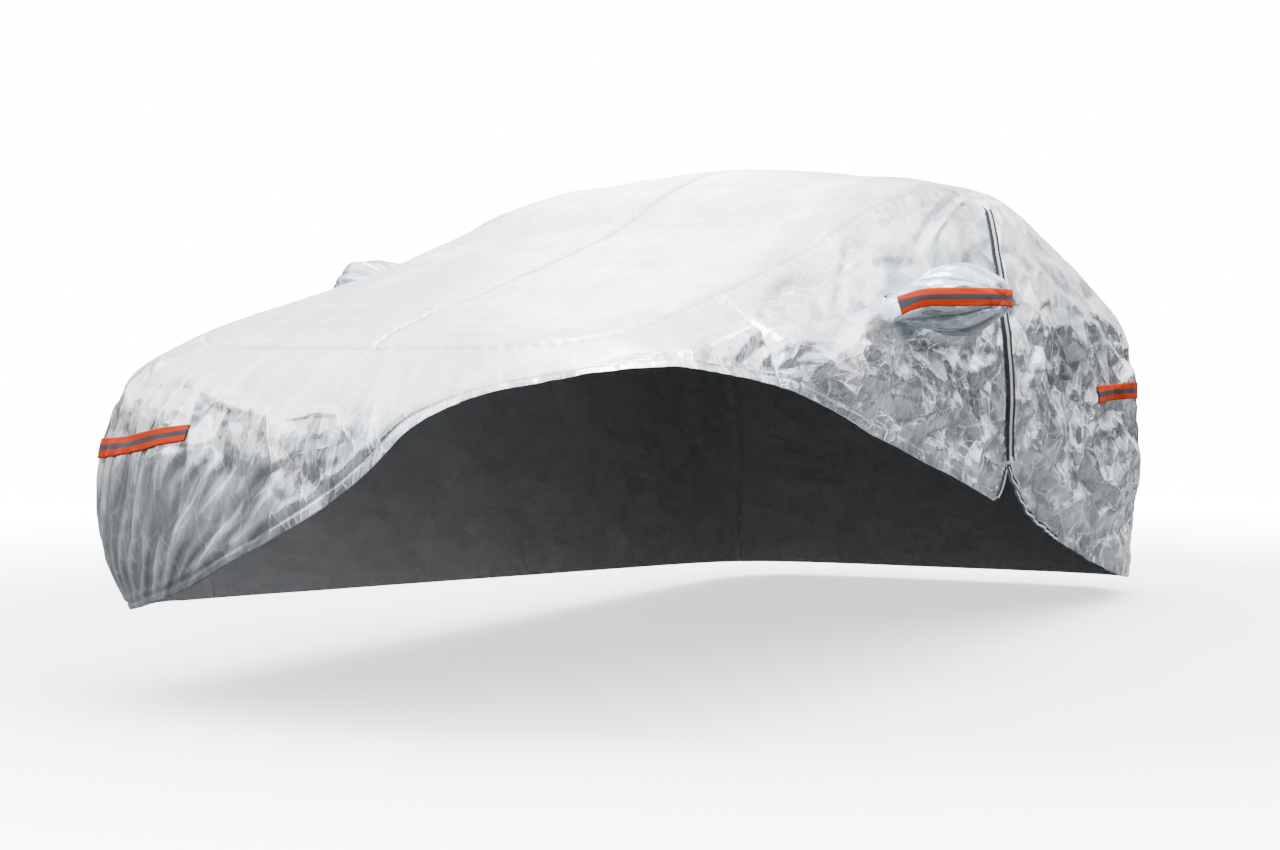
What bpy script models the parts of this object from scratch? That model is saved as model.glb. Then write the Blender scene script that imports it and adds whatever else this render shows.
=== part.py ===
"""A fitted cover for a compact five-door hatchback, as it hangs on the car.

Silver laminate cloth, sewn from two top halves and a skirt of five panels, with a pocket
for each door mirror, a zip down the left side and three reflective strips. The lower
front-left edge is drawn up, from the front right corner over the bonnet's edge and down
to the zip. The car itself is left out, so the cover is hollow.

X points to the car's left, Y to its rear and Z up. Heights in the tables are above the
ground; the finished part has its origin under the roof, where the car holds it up.
"""

import math

import bmesh
import bpy
import numpy as np
from mathutils import Vector

# ---------------------------------------------------------------------------
# Driving sizes, in metres
# ---------------------------------------------------------------------------
CLOTH = 0.0024              # laminate, padding and lining together
TAPE = 0.0012               # reflective strips and zip tapes
SEAM_GAP = 0.0004           # between the edges of two panels that are sewn together
LIFT = 0.0030               # from the cloth to the underside of what is sewn on it
ORIGIN = Vector((0.0, 0.70, 1.545))     # the point under the roof that the car holds up

# The plan of the cover is a rounded oblong. A place on it is given by its run along the
# outline from the middle of the front, to the left, and by its ring, counted down from
# the spine: 0 spine, 1 half way, 2 roof and bonnet edge, 3 shoulder, 4 waist, 5 hem.
PLAN_HALF_WIDTH = 0.90
PLAN_HALF_LENGTH = 2.25
PLAN_SQUARENESS = (5.0, 11.0)           # across, along
HALF_WAY = 0.55                         # of the width of the edge ring
CROWN_FALL = 0.3                        # of the fall from crown to edge, done half way out
SPINE_FALL = 0.4                        # of that first fall, as slope where the halves meet
HEM_HALF_WIDTH = 0.90
HEM_HEIGHT = (0.24, 0.05)               # at the nose, at the tail
RING_REACH = (                          # how far each ring runs ahead and behind
    # ahead, behind
    (1.70, 1.60),
    (1.87, 1.74),
    (2.08, 1.88),
    (2.25, 2.12),
    (2.28, 2.28),
    (2.18, 2.21),
)
STATIONS = (
    # y, crown, edge_x, edge_z, shoulder_x, shoulder_z, waist_x, waist_z
    (-2.27, 0.88, 0.73, 0.86, 0.89, 0.73, 0.91, 0.44),
    (-2.00, 0.97, 0.71, 0.94, 0.89, 0.80, 0.92, 0.47),
    (-1.60, 1.06, 0.67, 1.03, 0.88, 0.86, 0.92, 0.50),
    (-1.20, 1.16, 0.66, 1.12, 0.89, 0.91, 0.92, 0.52),
    (-0.80, 1.27, 0.66, 1.22, 0.90, 0.97, 0.93, 0.55),
    (-0.40, 1.42, 0.66, 1.34, 0.90, 1.01, 0.93, 0.55),
    (0.00, 1.52, 0.67, 1.42, 0.90, 1.03, 0.93, 0.55),
    (0.50, 1.55, 0.69, 1.44, 0.90, 1.05, 0.93, 0.55),
    (1.00, 1.55, 0.67, 1.44, 0.90, 1.07, 0.93, 0.55),
    (1.40, 1.49, 0.63, 1.36, 0.90, 1.05, 0.93, 0.55),
    (1.80, 1.33, 0.57, 1.19, 0.89, 1.00, 0.93, 0.54),
    (2.10, 1.10, 0.54, 0.99, 0.88, 0.90, 0.93, 0.52),
    (2.27, 0.95, 0.53, 0.88, 0.87, 0.82, 0.93, 0.50),
)

# Where the panels meet, as runs along the outline
FRONT_SEAM = 1.35
ZIP_RUN = 3.07
REAR_SEAM = 5.00
ZIP_HALF_GAP = 0.004
ZIP_LEAN = 0.50                         # how far back the zip's upper end leans
ZIP_LEAN_BELL = 0.60
ZIP_LEAN_ROWS = (
    # ring, share of the lean
    (0.0, 0.00), (1.2, 0.80), (2.1, 1.00), (2.5, 0.52), (3.0, 0.08), (3.5, 0.00), (5.0, 0.00),
)
MOUTHS = {
    # side: (run_from, run_to), (ring_from, ring_to) of the hole in the door's cloth
    1.0: ((2.15, 2.50), (2.70, 2.94)),
    -1.0: ((2.24, 2.59), (2.52, 2.76)),
}

# The drawn-up edge of the front and left panels, and the hem of the rear left panel
DRAWN_EDGE = (
    # run, ring
    (-1.20, 5.00), (-0.62, 4.86), (-0.44, 4.55), (-0.28, 4.19), (-0.12, 3.88), (0.00, 3.66),
    (0.12, 3.38), (0.23, 3.02), (0.36, 2.76), (0.55, 2.58), (0.70, 2.52), (0.87, 2.62),
    (1.08, 2.88), (1.39, 3.17), (1.68, 3.42), (2.19, 3.82), (2.62, 4.03), (2.88, 4.17),
    (2.96, 4.20), (3.00, 4.15), (3.04, 4.07), (3.07, 3.97),
)
REAR_LEFT_EDGE = (
    # run, ring
    (3.07, 3.95), (3.10, 4.02), (3.15, 4.13), (3.22, 4.25), (3.35, 4.38), (3.48, 4.47),
    (3.63, 4.56), (4.00, 4.74), (4.65, 4.96), (5.05, 5.00),
)

# Main folds: soft ridges and troughs, each a long bell on the cloth
FOLDS = (
    # run, ring, slope in degrees, half_length, half_width, height
    (-1.10, 3.80, 84.0, 0.34, 0.045, 0.014),
    (-0.95, 3.90, 88.0, 0.36, 0.050, -0.012),
    (-0.80, 4.00, 92.0, 0.34, 0.045, 0.015),
    (-0.64, 3.90, 95.0, 0.32, 0.050, -0.013),
    (-0.48, 3.70, 99.0, 0.30, 0.050, 0.014),
    (-0.31, 3.40, 104.0, 0.26, 0.050, -0.011),
    (-0.15, 3.20, 110.0, 0.22, 0.050, 0.010),
    (1.95, 2.95, 28.0, 0.30, 0.080, 0.010),
    (2.70, 3.40, -52.0, 0.36, 0.090, 0.013),
    (2.05, 3.30, 40.0, 0.28, 0.080, -0.010),
    (2.75, 2.35, 68.0, 0.26, 0.080, 0.014),
    (3.45, 3.30, 58.0, 0.40, 0.100, 0.014),
    (3.75, 4.10, -38.0, 0.40, 0.100, 0.012),
    (4.25, 3.30, 20.0, 0.36, 0.090, -0.012),
    (4.45, 4.20, 62.0, 0.36, 0.100, 0.013),
    (4.05, 2.70, -30.0, 0.34, 0.100, 0.011),
    (-1.90, 3.30, -35.0, 0.40, 0.100, 0.012),
    (-2.60, 3.90, 50.0, 0.40, 0.100, 0.013),
    (-3.30, 3.20, -48.0, 0.40, 0.110, 0.012),
    (-3.90, 4.00, 36.0, 0.40, 0.100, -0.012),
    (-4.50, 3.30, 60.0, 0.38, 0.100, 0.013),
    (5.50, 3.60, 75.0, 0.34, 0.090, 0.012),
    (-5.55, 3.70, 100.0, 0.34, 0.090, 0.012),
    (5.90, 4.20, 88.0, 0.30, 0.090, -0.012),
)
RING_STEP = 0.42            # metres of cloth from one ring to the next, on the skirt
EDGE_RING = 2.0             # where the skirt is sewn to the top halves
HEM_RING = 5.0
SPINE_BAND = 0.05           # rings from the spine within which the halves meet squarely
OUTLINE_STEPS = 8000
SHARP_FROM = math.radians(50.0)         # folds sharper than this show as an edge
WELD = 1e-5
NEAR_RUN = 0.015            # how far off a normal's neighbours are taken, along and down
NEAR_RING = 0.03

# Mirror pockets: loops across the sleeve, from the door outward
POCKET_LOOPS = (
    # x, centre_y, centre_z, half_y, half_z
    (0.975, -0.635, 1.065, 0.170, 0.096),
    (1.060, -0.606, 1.068, 0.160, 0.092),
    (1.128, -0.586, 1.070, 0.100, 0.052),
)
POCKET_TIP = (1.144, -0.580, 1.070)
POCKETS = (
    # name, side, set_back, raised
    ("mirror_pocket_left", 1.0, 0.0, 0.0),
    ("mirror_pocket_right", -1.0, 0.09, 0.06),
)
POCKET_INSET = 0.0045       # from the edge of the door hole to the sleeve
POCKET_STEPS = 2            # rows of cloth between two loops
POCKET_CORNER = math.radians(40.0)      # where the corners of the door hole land on a loop
STRIP_RISE = 0.024          # half height of the strip on the pocket
STRIP_BACK_ROWS = 3         # rows of the sleeve that the strip covers behind the tip

# Reflective strips on the skirt
STRIPS = (
    # name, run_from, ring_from, run_to, ring_to, half_height
    ("strip_front_right", -1.00, 3.50, -0.436, 3.11, 0.0326),
    ("strip_rear_left", 4.17, 3.56, 4.92, 3.48, 0.0245),
)
STRIP_STEP = 0.045

# Zip
ZIP_TOP_RING = 2.17
ZIP_SLIDER_RING = 3.93
ZIP_HALF_WIDTH = 0.015
ZIP_STEPS = 16
OPEN_TAPE_WIDTH = 0.015
OPEN_FRONT_RUNS = (2.965, ZIP_RUN - 0.012)
OPEN_REAR_RUNS = (ZIP_RUN + 0.020, 3.68)
OPEN_STEP = 0.045
OPEN_SLANT = 1.6            # the tape's height over its width, where the edge runs aslant
SLIDER_OUTLINE = (
    # across, up: half of a slider body with its pull tab below
    (0.0030, 0.0080), (0.0062, 0.0050), (0.0062, -0.0040), (0.0034, -0.0070),
    (0.0034, -0.0300), (0.0022, -0.0320),
)
SLIDER_THICKNESS = 0.0030
SLIDER_LIFT = 0.0022        # above the closed zip's tape

# Cells of the cloth
FRONT_CELL = 0.080
FRONT_CELLS_END = 0.48      # left of here the front panel takes the side's wider cells
SIDE_CELL = 0.122
TOP_CELLS = 6
UPPER_CELLS = 2             # from the edge seam to a pocket's mouth
MOUTH_CELLS = 3             # down the mouth
SKIRT_FULL = 3.50           # where the drawn-up edge rises above this ring, the levels close up
LOWER_CELLS = 5
POCKET_CELLS = 3

# ---------------------------------------------------------------------------
# The draped surface
# ---------------------------------------------------------------------------


def through(knots, values, x):
    """Smooth curve through the rows of a table, read at x."""
    knots = np.asarray(knots, float)
    values = np.asarray(values, float)
    x = np.clip(x, knots[0], knots[-1])
    i = np.clip(np.searchsorted(knots, x, side="right") - 1, 0, len(knots) - 2)
    slope = np.gradient(values, knots)
    width = knots[i + 1] - knots[i]
    t = (x - knots[i]) / width
    rise = (2 * t**3 - 3 * t**2 + 1) * values[i] + (3 * t**2 - 2 * t**3) * values[i + 1]
    lean = (t**3 - 2 * t**2 + t) * slope[i] + (t**3 - t**2) * slope[i + 1]
    return rise + lean * width


def column(table, number):
    return [row[number] for row in table]


def outline():
    """The plan's run, and its across and along shares, all the way round from the nose."""
    turn = np.linspace(0.0, 2.0 * math.pi, OUTLINE_STEPS + 1)
    across = np.sign(np.sin(turn)) * np.abs(np.sin(turn)) ** (2.0 / PLAN_SQUARENESS[0])
    along = -np.sign(np.cos(turn)) * np.abs(np.cos(turn)) ** (2.0 / PLAN_SQUARENESS[1])
    step = np.hypot(np.diff(across) * PLAN_HALF_WIDTH, np.diff(along) * PLAN_HALF_LENGTH)
    return np.concatenate([[0.0], np.cumsum(step)]), across, along


OUTLINE = outline()
PERIMETER = OUTLINE[0][-1]
TAIL = PERIMETER / 2.0


def leaned(run, ring):
    """Lean the cloth's columns back on the upper left side, so that the zip follows one."""
    share = through(column(ZIP_LEAN_ROWS, 0), column(ZIP_LEAN_ROWS, 1), ring)
    return run + ZIP_LEAN * share * np.exp(-(((run - ZIP_RUN) / ZIP_LEAN_BELL) ** 2))


def smooth_surface(run, ring):
    """Points of the cover without its folds, one row of x, y, height for each place."""
    run = np.mod(leaned(run, ring), PERIMETER)
    across = np.interp(run, OUTLINE[0], OUTLINE[1])
    along = np.interp(run, OUTLINE[0], OUTLINE[2])
    y = [along * np.where(along < 0, ahead, behind) for ahead, behind in RING_REACH]
    at = [lambda place, n=n: through(column(STATIONS, 0), column(STATIONS, n), place) for n in range(8)]
    hem = np.interp(y[5], (-RING_REACH[5][0], RING_REACH[5][1]), HEM_HEIGHT)
    half_way_z = at[1](y[1]) - CROWN_FALL * (at[1](y[1]) - at[3](y[1]))
    rings = np.array([
        (0.0 * across, y[0], at[1](y[0])),
        (across * HALF_WAY * at[2](y[1]), y[1], half_way_z),
        (across * at[2](y[2]), y[2], at[3](y[2])),
        (across * at[4](y[3]), y[3], at[5](y[3])),
        (across * at[6](y[4]), y[4], at[7](y[4])),
        (across * HEM_HALF_WIDTH, y[5], hem),
    ])
    slopes = np.gradient(rings, axis=0)
    slopes[0] = (rings[1] - rings[0]) * np.array([[1.0], [1.0], [SPINE_FALL]])
    i = np.clip(np.floor(ring).astype(int), 0, 4)
    t = ring - i
    one = np.arange(len(run))
    low, high = rings[i, :, one].T, rings[i + 1, :, one].T
    low_slope, high_slope = slopes[i, :, one].T, slopes[i + 1, :, one].T
    rise = (2 * t**3 - 3 * t**2 + 1) * low + (3 * t**2 - 2 * t**3) * high
    lean = (t**3 - 2 * t**2 + t) * low_slope + (t**3 - t**2) * high_slope
    return (rise + lean).T


def fold_height(run, ring):
    height = np.zeros_like(run)
    for at_run, at_ring, slope, half_length, half_width, tall in FOLDS:
        away = np.mod(run - at_run + TAIL, PERIMETER) - TAIL
        down = (ring - at_ring) * RING_STEP
        turn = math.radians(slope)
        along = away * math.cos(turn) - down * math.sin(turn)
        across = away * math.sin(turn) + down * math.cos(turn)
        height += tall * np.exp(-((along / half_length) ** 2) - (across / half_width) ** 2)
    return height


def normals(place, run, ring):
    """Unit normals of a surface, from places a little way off along it and down it."""
    along = place(run + NEAR_RUN, ring) - place(run - NEAR_RUN, ring)
    upper = np.maximum(ring - NEAR_RING, SPINE_BAND / 2)
    down = place(run, np.minimum(ring + NEAR_RING, HEM_RING)) - place(run, upper)
    normal = np.cross(down, along)
    size = np.linalg.norm(normal, axis=1, keepdims=True)
    normal = np.where(size > 1e-9, normal / np.maximum(size, 1e-9), (0.0, 0.0, 1.0))
    on_spine = (ring < SPINE_BAND)[:, None]
    flat = normal * (0.0, 1.0, 1.0)
    flat = flat / np.maximum(np.linalg.norm(flat, axis=1, keepdims=True), 1e-9)
    return np.where(on_spine, flat, normal)


def surface(run, ring):
    """Points of the draped cover, with its main folds."""
    run, ring = np.asarray(run, float), np.asarray(ring, float)
    base = smooth_surface(run, ring)
    return base + normals(smooth_surface, run, ring) * fold_height(run, ring)[:, None]


# ---------------------------------------------------------------------------
# From places on the surface to closed solids
# ---------------------------------------------------------------------------


def material(name, colour, roughness, metallic):
    made = bpy.data.materials.new(name)
    made.use_nodes = True
    shader = made.node_tree.nodes["Principled BSDF"]
    shader.inputs["Base Color"].default_value = (*colour, 1.0)
    shader.inputs["Roughness"].default_value = roughness
    shader.inputs["Metallic"].default_value = metallic
    return made


def add_object(name, mesh_data, look):
    """Close the bmesh as a named object, with its origin moved under the roof."""
    bmesh.ops.remove_doubles(mesh_data, verts=mesh_data.verts, dist=WELD)
    bmesh.ops.translate(mesh_data, verts=mesh_data.verts, vec=-ORIGIN)
    bmesh.ops.recalc_face_normals(mesh_data, faces=mesh_data.faces)
    mesh = bpy.data.meshes.new(name)
    mesh_data.to_mesh(mesh)
    mesh_data.free()
    mesh.shade_smooth()
    mesh.set_sharp_from_angle(angle=SHARP_FROM)
    mesh.materials.append(material(name, *look))
    placed = bpy.data.objects.new(name, mesh)
    bpy.context.collection.objects.link(placed)
    return placed


def thicken(mesh_data, inner):
    """Extrude a sheet into a closed solid. inner maps a vertex to its far side."""
    far = {vertex: point for vertex, point in inner.items() if vertex.is_valid}
    made = bmesh.ops.extrude_face_region(mesh_data, geom=mesh_data.faces[:], use_keep_orig=True)
    copies = [item for item in made["geom"] if isinstance(item, bmesh.types.BMVert)]
    by_place = {tuple(round(c, 6) for c in vertex.co): point for vertex, point in far.items()}
    for vertex in copies:
        vertex.co = by_place[tuple(round(c, 6) for c in vertex.co)]


def cloth(name, runs, rings, look, lift=0.0, thick=CLOTH, hole=None):
    """A sheet over a grid of places. Its upper side stands lift above the surface."""
    rows, columns = rings.shape
    flat_run, flat_ring = np.broadcast_to(runs, rings.shape).ravel(), rings.ravel()
    base = surface(flat_run, flat_ring)
    normal = normals(surface, flat_run, flat_ring)
    top = base + normal * (lift + (thick if lift else 0.0))
    under = top - normal * thick
    mesh_data = bmesh.new()
    corners, keep, inner = [], {}, {}
    for point, below in zip(top, under):
        key = tuple(round(float(c), 5) for c in point)
        if key not in keep:
            keep[key] = mesh_data.verts.new(point)
            inner[keep[key]] = Vector(below)
        corners.append(keep[key])
    for row in range(rows - 1):
        for col in range(columns - 1):
            if hole and hole[0] <= row < hole[1] and hole[2] <= col < hole[3]:
                continue
            quad = [corners[row * columns + col], corners[row * columns + col + 1],
                    corners[(row + 1) * columns + col + 1], corners[(row + 1) * columns + col]]
            ring_of = list(dict.fromkeys(quad))
            if len(ring_of) > 2:
                mesh_data.faces.new(ring_of)
    thicken(mesh_data, inner)
    bmesh.ops.triangulate(mesh_data, faces=mesh_data.faces)
    return add_object(name, mesh_data, look)


# ---------------------------------------------------------------------------
# Panels
# ---------------------------------------------------------------------------
FOIL = ((0.72, 0.74, 0.77), 0.30, 0.85)
POCKET_FOIL = ((0.62, 0.66, 0.72), 0.30, 0.85)
ORANGE = ((0.90, 0.10, 0.015), 0.45, 0.0)
ZIP_BLACK = ((0.02, 0.02, 0.022), 0.55, 0.0)
ZIP_METAL = ((0.60, 0.60, 0.62), 0.30, 1.0)


def cells(start, end, size):
    count = max(1, round(abs(end - start) / size))
    return np.linspace(start, end, count + 1)


def side_runs(side):
    """Columns of one side, from the front seam to the rear seam, with the pocket's own."""
    mouth_runs = MOUTHS[side][0]
    ahead = cells(FRONT_SEAM, mouth_runs[0], SIDE_CELL)
    pocket = np.linspace(*mouth_runs, POCKET_CELLS + 1)
    to_zip = cells(mouth_runs[1], ZIP_RUN, SIDE_CELL)
    behind = cells(ZIP_RUN, REAR_SEAM, SIDE_CELL)
    return ahead, pocket, to_zip, behind


def levels(side):
    """Rows of one side, from the edge seam down to the foot of the pocket's mouth."""
    mouth_rings = MOUTHS[side][1]
    above = np.linspace(EDGE_RING, mouth_rings[0], UPPER_CELLS + 1)
    return joined(above, np.linspace(*mouth_rings, MOUTH_CELLS + 1))


def joined(*stretches):
    return np.concatenate([stretches[0]] + [stretch[1:] for stretch in stretches[1:]])


def trimmed(runs, start_gap=SEAM_GAP / 2, end_gap=SEAM_GAP / 2):
    """Keep the two end columns clear of the next panels."""
    runs = runs.copy()
    runs[0] += start_gap
    runs[-1] -= end_gap
    return runs


def skirt_rings(runs, bottom, right=0.0):
    """Rows of a skirt panel, from the edge seam down to its own lower edge.

    right is 0 where a column's rows are the left side's and 1 where they are the right's."""
    closing = np.minimum(1.0, (bottom - EDGE_RING) / (SKIRT_FULL - EDGE_RING))
    pairs = zip(levels(1.0), levels(-1.0))
    upper = [EDGE_RING + (own + (other - own) * right - EDGE_RING) * closing for own, other in pairs]
    lower = [upper[-1] + (bottom - upper[-1]) * n / LOWER_CELLS for n in range(1, LOWER_CELLS + 1)]
    rings = np.array(upper + lower)
    rings[0] += SEAM_GAP / 2 / RING_STEP
    return rings


def top_half(name, runs):
    rings = np.linspace(0.0, EDGE_RING, TOP_CELLS + 1)
    rings[-1] -= SEAM_GAP / 2 / RING_STEP
    return cloth(name, runs, np.repeat(rings[:, None], len(runs), axis=1), FOIL)


def open_centre(half, side):
    """Move the centre seam's edge of a top half clear of the other half."""
    for vertex in half.data.vertices:
        if abs(vertex.co.x) < SEAM_GAP / 4:
            vertex.co.x = side * SEAM_GAP / 2


def drawn_bottom(runs):
    table = DRAWN_EDGE
    return np.where(runs < table[0][0], HEM_RING, through(column(table, 0), column(table, 1), runs))


def rear_left_bottom(runs):
    return through(column(REAR_LEFT_EDGE, 0), column(REAR_LEFT_EDGE, 1), runs)


def build_panels():
    front_left = joined(cells(0.0, FRONT_CELLS_END, FRONT_CELL),
                        cells(FRONT_CELLS_END, FRONT_SEAM, SIDE_CELL))
    front_right = -cells(0.0, FRONT_SEAM, FRONT_CELL)[::-1]
    rear = cells(REAR_SEAM, TAIL, SIDE_CELL)
    ahead, pocket, to_zip, behind = side_runs(1.0)
    right_side = joined(*side_runs(-1.0))
    left = joined(front_left, ahead, pocket, to_zip, behind, rear)
    open_centre(top_half("top_left", left), 1.0)
    open_centre(top_half("top_right", -joined(-front_right[::-1], right_side, rear)[::-1]), -1.0)

    runs = trimmed(joined(front_right, front_left))
    right = np.clip(-runs / FRONT_SEAM, 0.0, 1.0)
    cloth("front_skirt", runs, skirt_rings(runs, drawn_bottom(runs), right), FOIL)

    runs = trimmed(joined(ahead, pocket, to_zip), end_gap=ZIP_HALF_GAP)
    start = len(ahead) - 1
    hole = (UPPER_CELLS, UPPER_CELLS + MOUTH_CELLS, start, start + POCKET_CELLS)
    cloth("side_left_front", runs, skirt_rings(runs, drawn_bottom(runs)), FOIL, hole=hole)

    runs = trimmed(behind, start_gap=ZIP_HALF_GAP)
    cloth("side_left_rear", runs, skirt_rings(runs, rear_left_bottom(runs)), FOIL)

    runs = trimmed(joined(rear, PERIMETER - rear[::-1]))
    right = (runs - REAR_SEAM) / (PERIMETER - 2.0 * REAR_SEAM)
    cloth("rear_skirt", runs, skirt_rings(runs, np.full(len(runs), HEM_RING), right), FOIL)

    runs = trimmed(-right_side[::-1])
    end = len(right_side) - len(side_runs(-1.0)[0])
    hole = (UPPER_CELLS, UPPER_CELLS + MOUTH_CELLS, end - POCKET_CELLS, end)
    cloth("side_right", runs, skirt_rings(runs, np.full(len(runs), HEM_RING), 1.0), FOIL, hole=hole)


# ---------------------------------------------------------------------------
# Mirror pockets
# ---------------------------------------------------------------------------


def pocket_base(side):
    """The edge of the door hole, from its upper front corner round over the rear."""
    runs = np.linspace(*MOUTHS[side][0], POCKET_CELLS + 1)
    rings = levels(side)[UPPER_CELLS:]
    loop = [(run, rings[0]) for run in runs]
    loop += [(runs[-1], ring) for ring in rings[1:]]
    loop += [(run, rings[-1]) for run in runs[-2::-1]]
    loop += [(runs[0], ring) for ring in rings[-2:0:-1]]
    points = surface([side * run for run, _ in loop], [ring for _, ring in loop])
    return [Vector(point) for point in points]


def loop_turns(half_z):
    """Turns round a pocket loop, one for each point of the door hole's edge."""
    strip = math.asin(STRIP_RISE / half_z)
    rear = [strip, -strip]
    front = [-math.pi + strip, math.pi - strip]
    top = np.linspace(math.pi - POCKET_CORNER, POCKET_CORNER, POCKET_CELLS + 1)
    return [*top, *rear, *-top[::-1], *front]


def pocket_rows(side, set_back, raised):
    """Rows of points from the door to the tip of the sleeve."""
    base = pocket_base(side)
    middle = sum(base, Vector()) / len(base)
    inset = [point + (middle - point).normalized() * POCKET_INSET for point in base]
    loops = [inset]
    for x, centre_y, centre_z, half_y, half_z in POCKET_LOOPS:
        loops.append([Vector((side * x, centre_y + set_back + half_y * math.cos(turn),
                              centre_z + raised + half_z * math.sin(turn))) for turn in loop_turns(half_z)])
    stack = np.array(loops)
    slope = np.gradient(stack, axis=0)
    rows = []
    for place in np.linspace(0, len(loops) - 1, POCKET_STEPS * (len(loops) - 1) + 1):
        i = min(int(place), len(loops) - 2)
        t = place - i
        rise = (2 * t**3 - 3 * t**2 + 1) * stack[i] + (3 * t**2 - 2 * t**3) * stack[i + 1]
        lean = (t**3 - 2 * t**2 + t) * slope[i] + (t**3 - t**2) * slope[i + 1]
        rows.append([Vector(point) for point in rise + lean])
    return rows


def pocket_skin(side, set_back, raised):
    """The sleeve as an open sheet, with its rows of vertices, its tip and the side that faces out."""
    mesh_data = bmesh.new()
    loops = [[mesh_data.verts.new(point) for point in row] for row in pocket_rows(side, set_back, raised)]
    count = len(loops[0])
    for near, far in zip(loops, loops[1:]):
        for n in range(count):
            m = (n + 1) % count
            mesh_data.faces.new((near[n], near[m], far[m], far[n]))
    tip = mesh_data.verts.new((side * POCKET_TIP[0], POCKET_TIP[1] + set_back, POCKET_TIP[2] + raised))
    for n in range(count):
        mesh_data.faces.new((loops[-1][n], loops[-1][(n + 1) % count], tip))
    bmesh.ops.recalc_face_normals(mesh_data, faces=mesh_data.faces)
    mesh_data.normal_update()
    outward = 1.0 if tip.normal.x * side > 0 else -1.0
    return mesh_data, loops, tip, outward


def pocket(name, side, set_back, raised):
    mesh_data, _, _, outward = pocket_skin(side, set_back, raised)
    inner = {v: v.co - v.normal * outward * CLOTH for v in mesh_data.verts}
    thicken(mesh_data, inner)
    bmesh.ops.triangulate(mesh_data, faces=mesh_data.faces)
    return add_object(name, mesh_data, POCKET_FOIL)


def pocket_strip(name, side, set_back, raised):
    """The strip along the pocket's front, over its tip and round to its rear."""
    skin, loops, tip, outward = pocket_skin(side, set_back, raised)
    rise = Vector((0.0, 0.0, STRIP_RISE))
    rear_top = POCKET_CELLS + 1
    rows = [[(loop[n].co, loop[n].normal) for n in (-1, -2)] for loop in loops[1:]]
    share = STRIP_RISE / POCKET_LOOPS[-1][4]
    fall = Vector((side * (POCKET_TIP[0] - POCKET_LOOPS[-1][0]) * share, 0.0, 0.0))
    rows.append([(tip.co + rise - fall, tip.normal), (tip.co - rise - fall, tip.normal)])
    for loop in loops[:-STRIP_BACK_ROWS - 1:-1]:
        rows.append([(loop[n].co, loop[n].normal) for n in (rear_top, rear_top + 1)])
    mesh_data = bmesh.new()
    inner = {}
    lines = []
    for (top, top_normal), (foot, foot_normal) in rows:
        middle = (top + foot) / 2.0
        if len(lines) == len(loops) - 1:
            middle = tip.co
        line = []
        for point, normal in ((top, top_normal), (middle, top_normal + foot_normal), (foot, foot_normal)):
            out = normal.normalized() * outward
            vertex = mesh_data.verts.new(point + out * LIFT)
            inner[vertex] = vertex.co + out * TAPE
            line.append(vertex)
        lines.append(line)
    for number, (near, far) in enumerate(zip(lines, lines[1:])):
        tall, low = (near, far) if number >= len(loops) - 1 else (far, near)
        for edge in (0, 2):
            mesh_data.faces.new((tall[1], low[1], low[edge]))
            mesh_data.faces.new((tall[1], low[edge], tall[edge]))
    skin.free()
    thicken(mesh_data, inner)
    bmesh.ops.triangulate(mesh_data, faces=mesh_data.faces)
    return add_object(name, mesh_data, ORANGE)


# ---------------------------------------------------------------------------
# Strips and zip
# ---------------------------------------------------------------------------


def skirt_strip(name, run_from, ring_from, run_to, ring_to, half_height):
    runs = cells(run_from, run_to, STRIP_STEP)
    middle = np.linspace(ring_from, ring_to, len(runs))
    half = half_height / RING_STEP
    return cloth(name, runs, np.array([middle - half, middle + half]), ORANGE, lift=LIFT, thick=TAPE)


def zip_closed():
    rings = np.linspace(ZIP_TOP_RING, ZIP_SLIDER_RING, ZIP_STEPS + 1)
    runs = np.array([ZIP_RUN - ZIP_HALF_WIDTH, ZIP_RUN + ZIP_HALF_WIDTH])
    cloth("zip_closed", runs, np.repeat(rings[:, None], 2, axis=1), ZIP_BLACK, lift=LIFT, thick=TAPE)


def zip_open(name, edge_of, runs):
    """Half of the opened zip, along the curved edge of its panel."""
    runs = cells(*runs, OPEN_STEP)
    edge = edge_of(runs)
    rings = np.array([edge - OPEN_TAPE_WIDTH / RING_STEP * OPEN_SLANT, edge])
    cloth(name, runs, rings, ZIP_BLACK, lift=LIFT, thick=TAPE)


def zip_slider():
    place = np.array([ZIP_RUN]), np.array([ZIP_SLIDER_RING])
    out = Vector(normals(surface, *place)[0])
    out.z = 0.0
    out.normalize()
    across = Vector((0.0, 0.0, 1.0)).cross(out)
    middle = Vector(surface(*place)[0]) + out * (LIFT + 2 * TAPE + SLIDER_LIFT)
    right = list(SLIDER_OUTLINE)
    left = [(-x, z) for x, z in reversed(SLIDER_OUTLINE)]
    mesh_data = bmesh.new()
    ring = [mesh_data.verts.new(middle + across * x + Vector((0.0, 0.0, z))) for x, z in right + left]
    face = mesh_data.faces.new(ring)
    inner = {vertex: vertex.co + out * SLIDER_THICKNESS for vertex in face.verts}
    thicken(mesh_data, inner)
    bmesh.ops.triangulate(mesh_data, faces=mesh_data.faces)
    return add_object("zip_slider", mesh_data, ZIP_METAL)


for old in list(bpy.data.objects):
    bpy.data.objects.remove(old, do_unlink=True)
build_panels()
for each in POCKETS:
    pocket(*each)
pocket_strip("strip_mirror_left", *POCKETS[0][1:])
for strip in STRIPS:
    skirt_strip(*strip)
zip_closed()
zip_open("zip_open_front", drawn_bottom, OPEN_FRONT_RUNS)
zip_open("zip_open_rear", rear_left_bottom, OPEN_REAR_RUNS)
zip_slider()
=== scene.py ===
import math

import bmesh
import bpy
import numpy as np
from mathutils import Matrix, Vector


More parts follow.
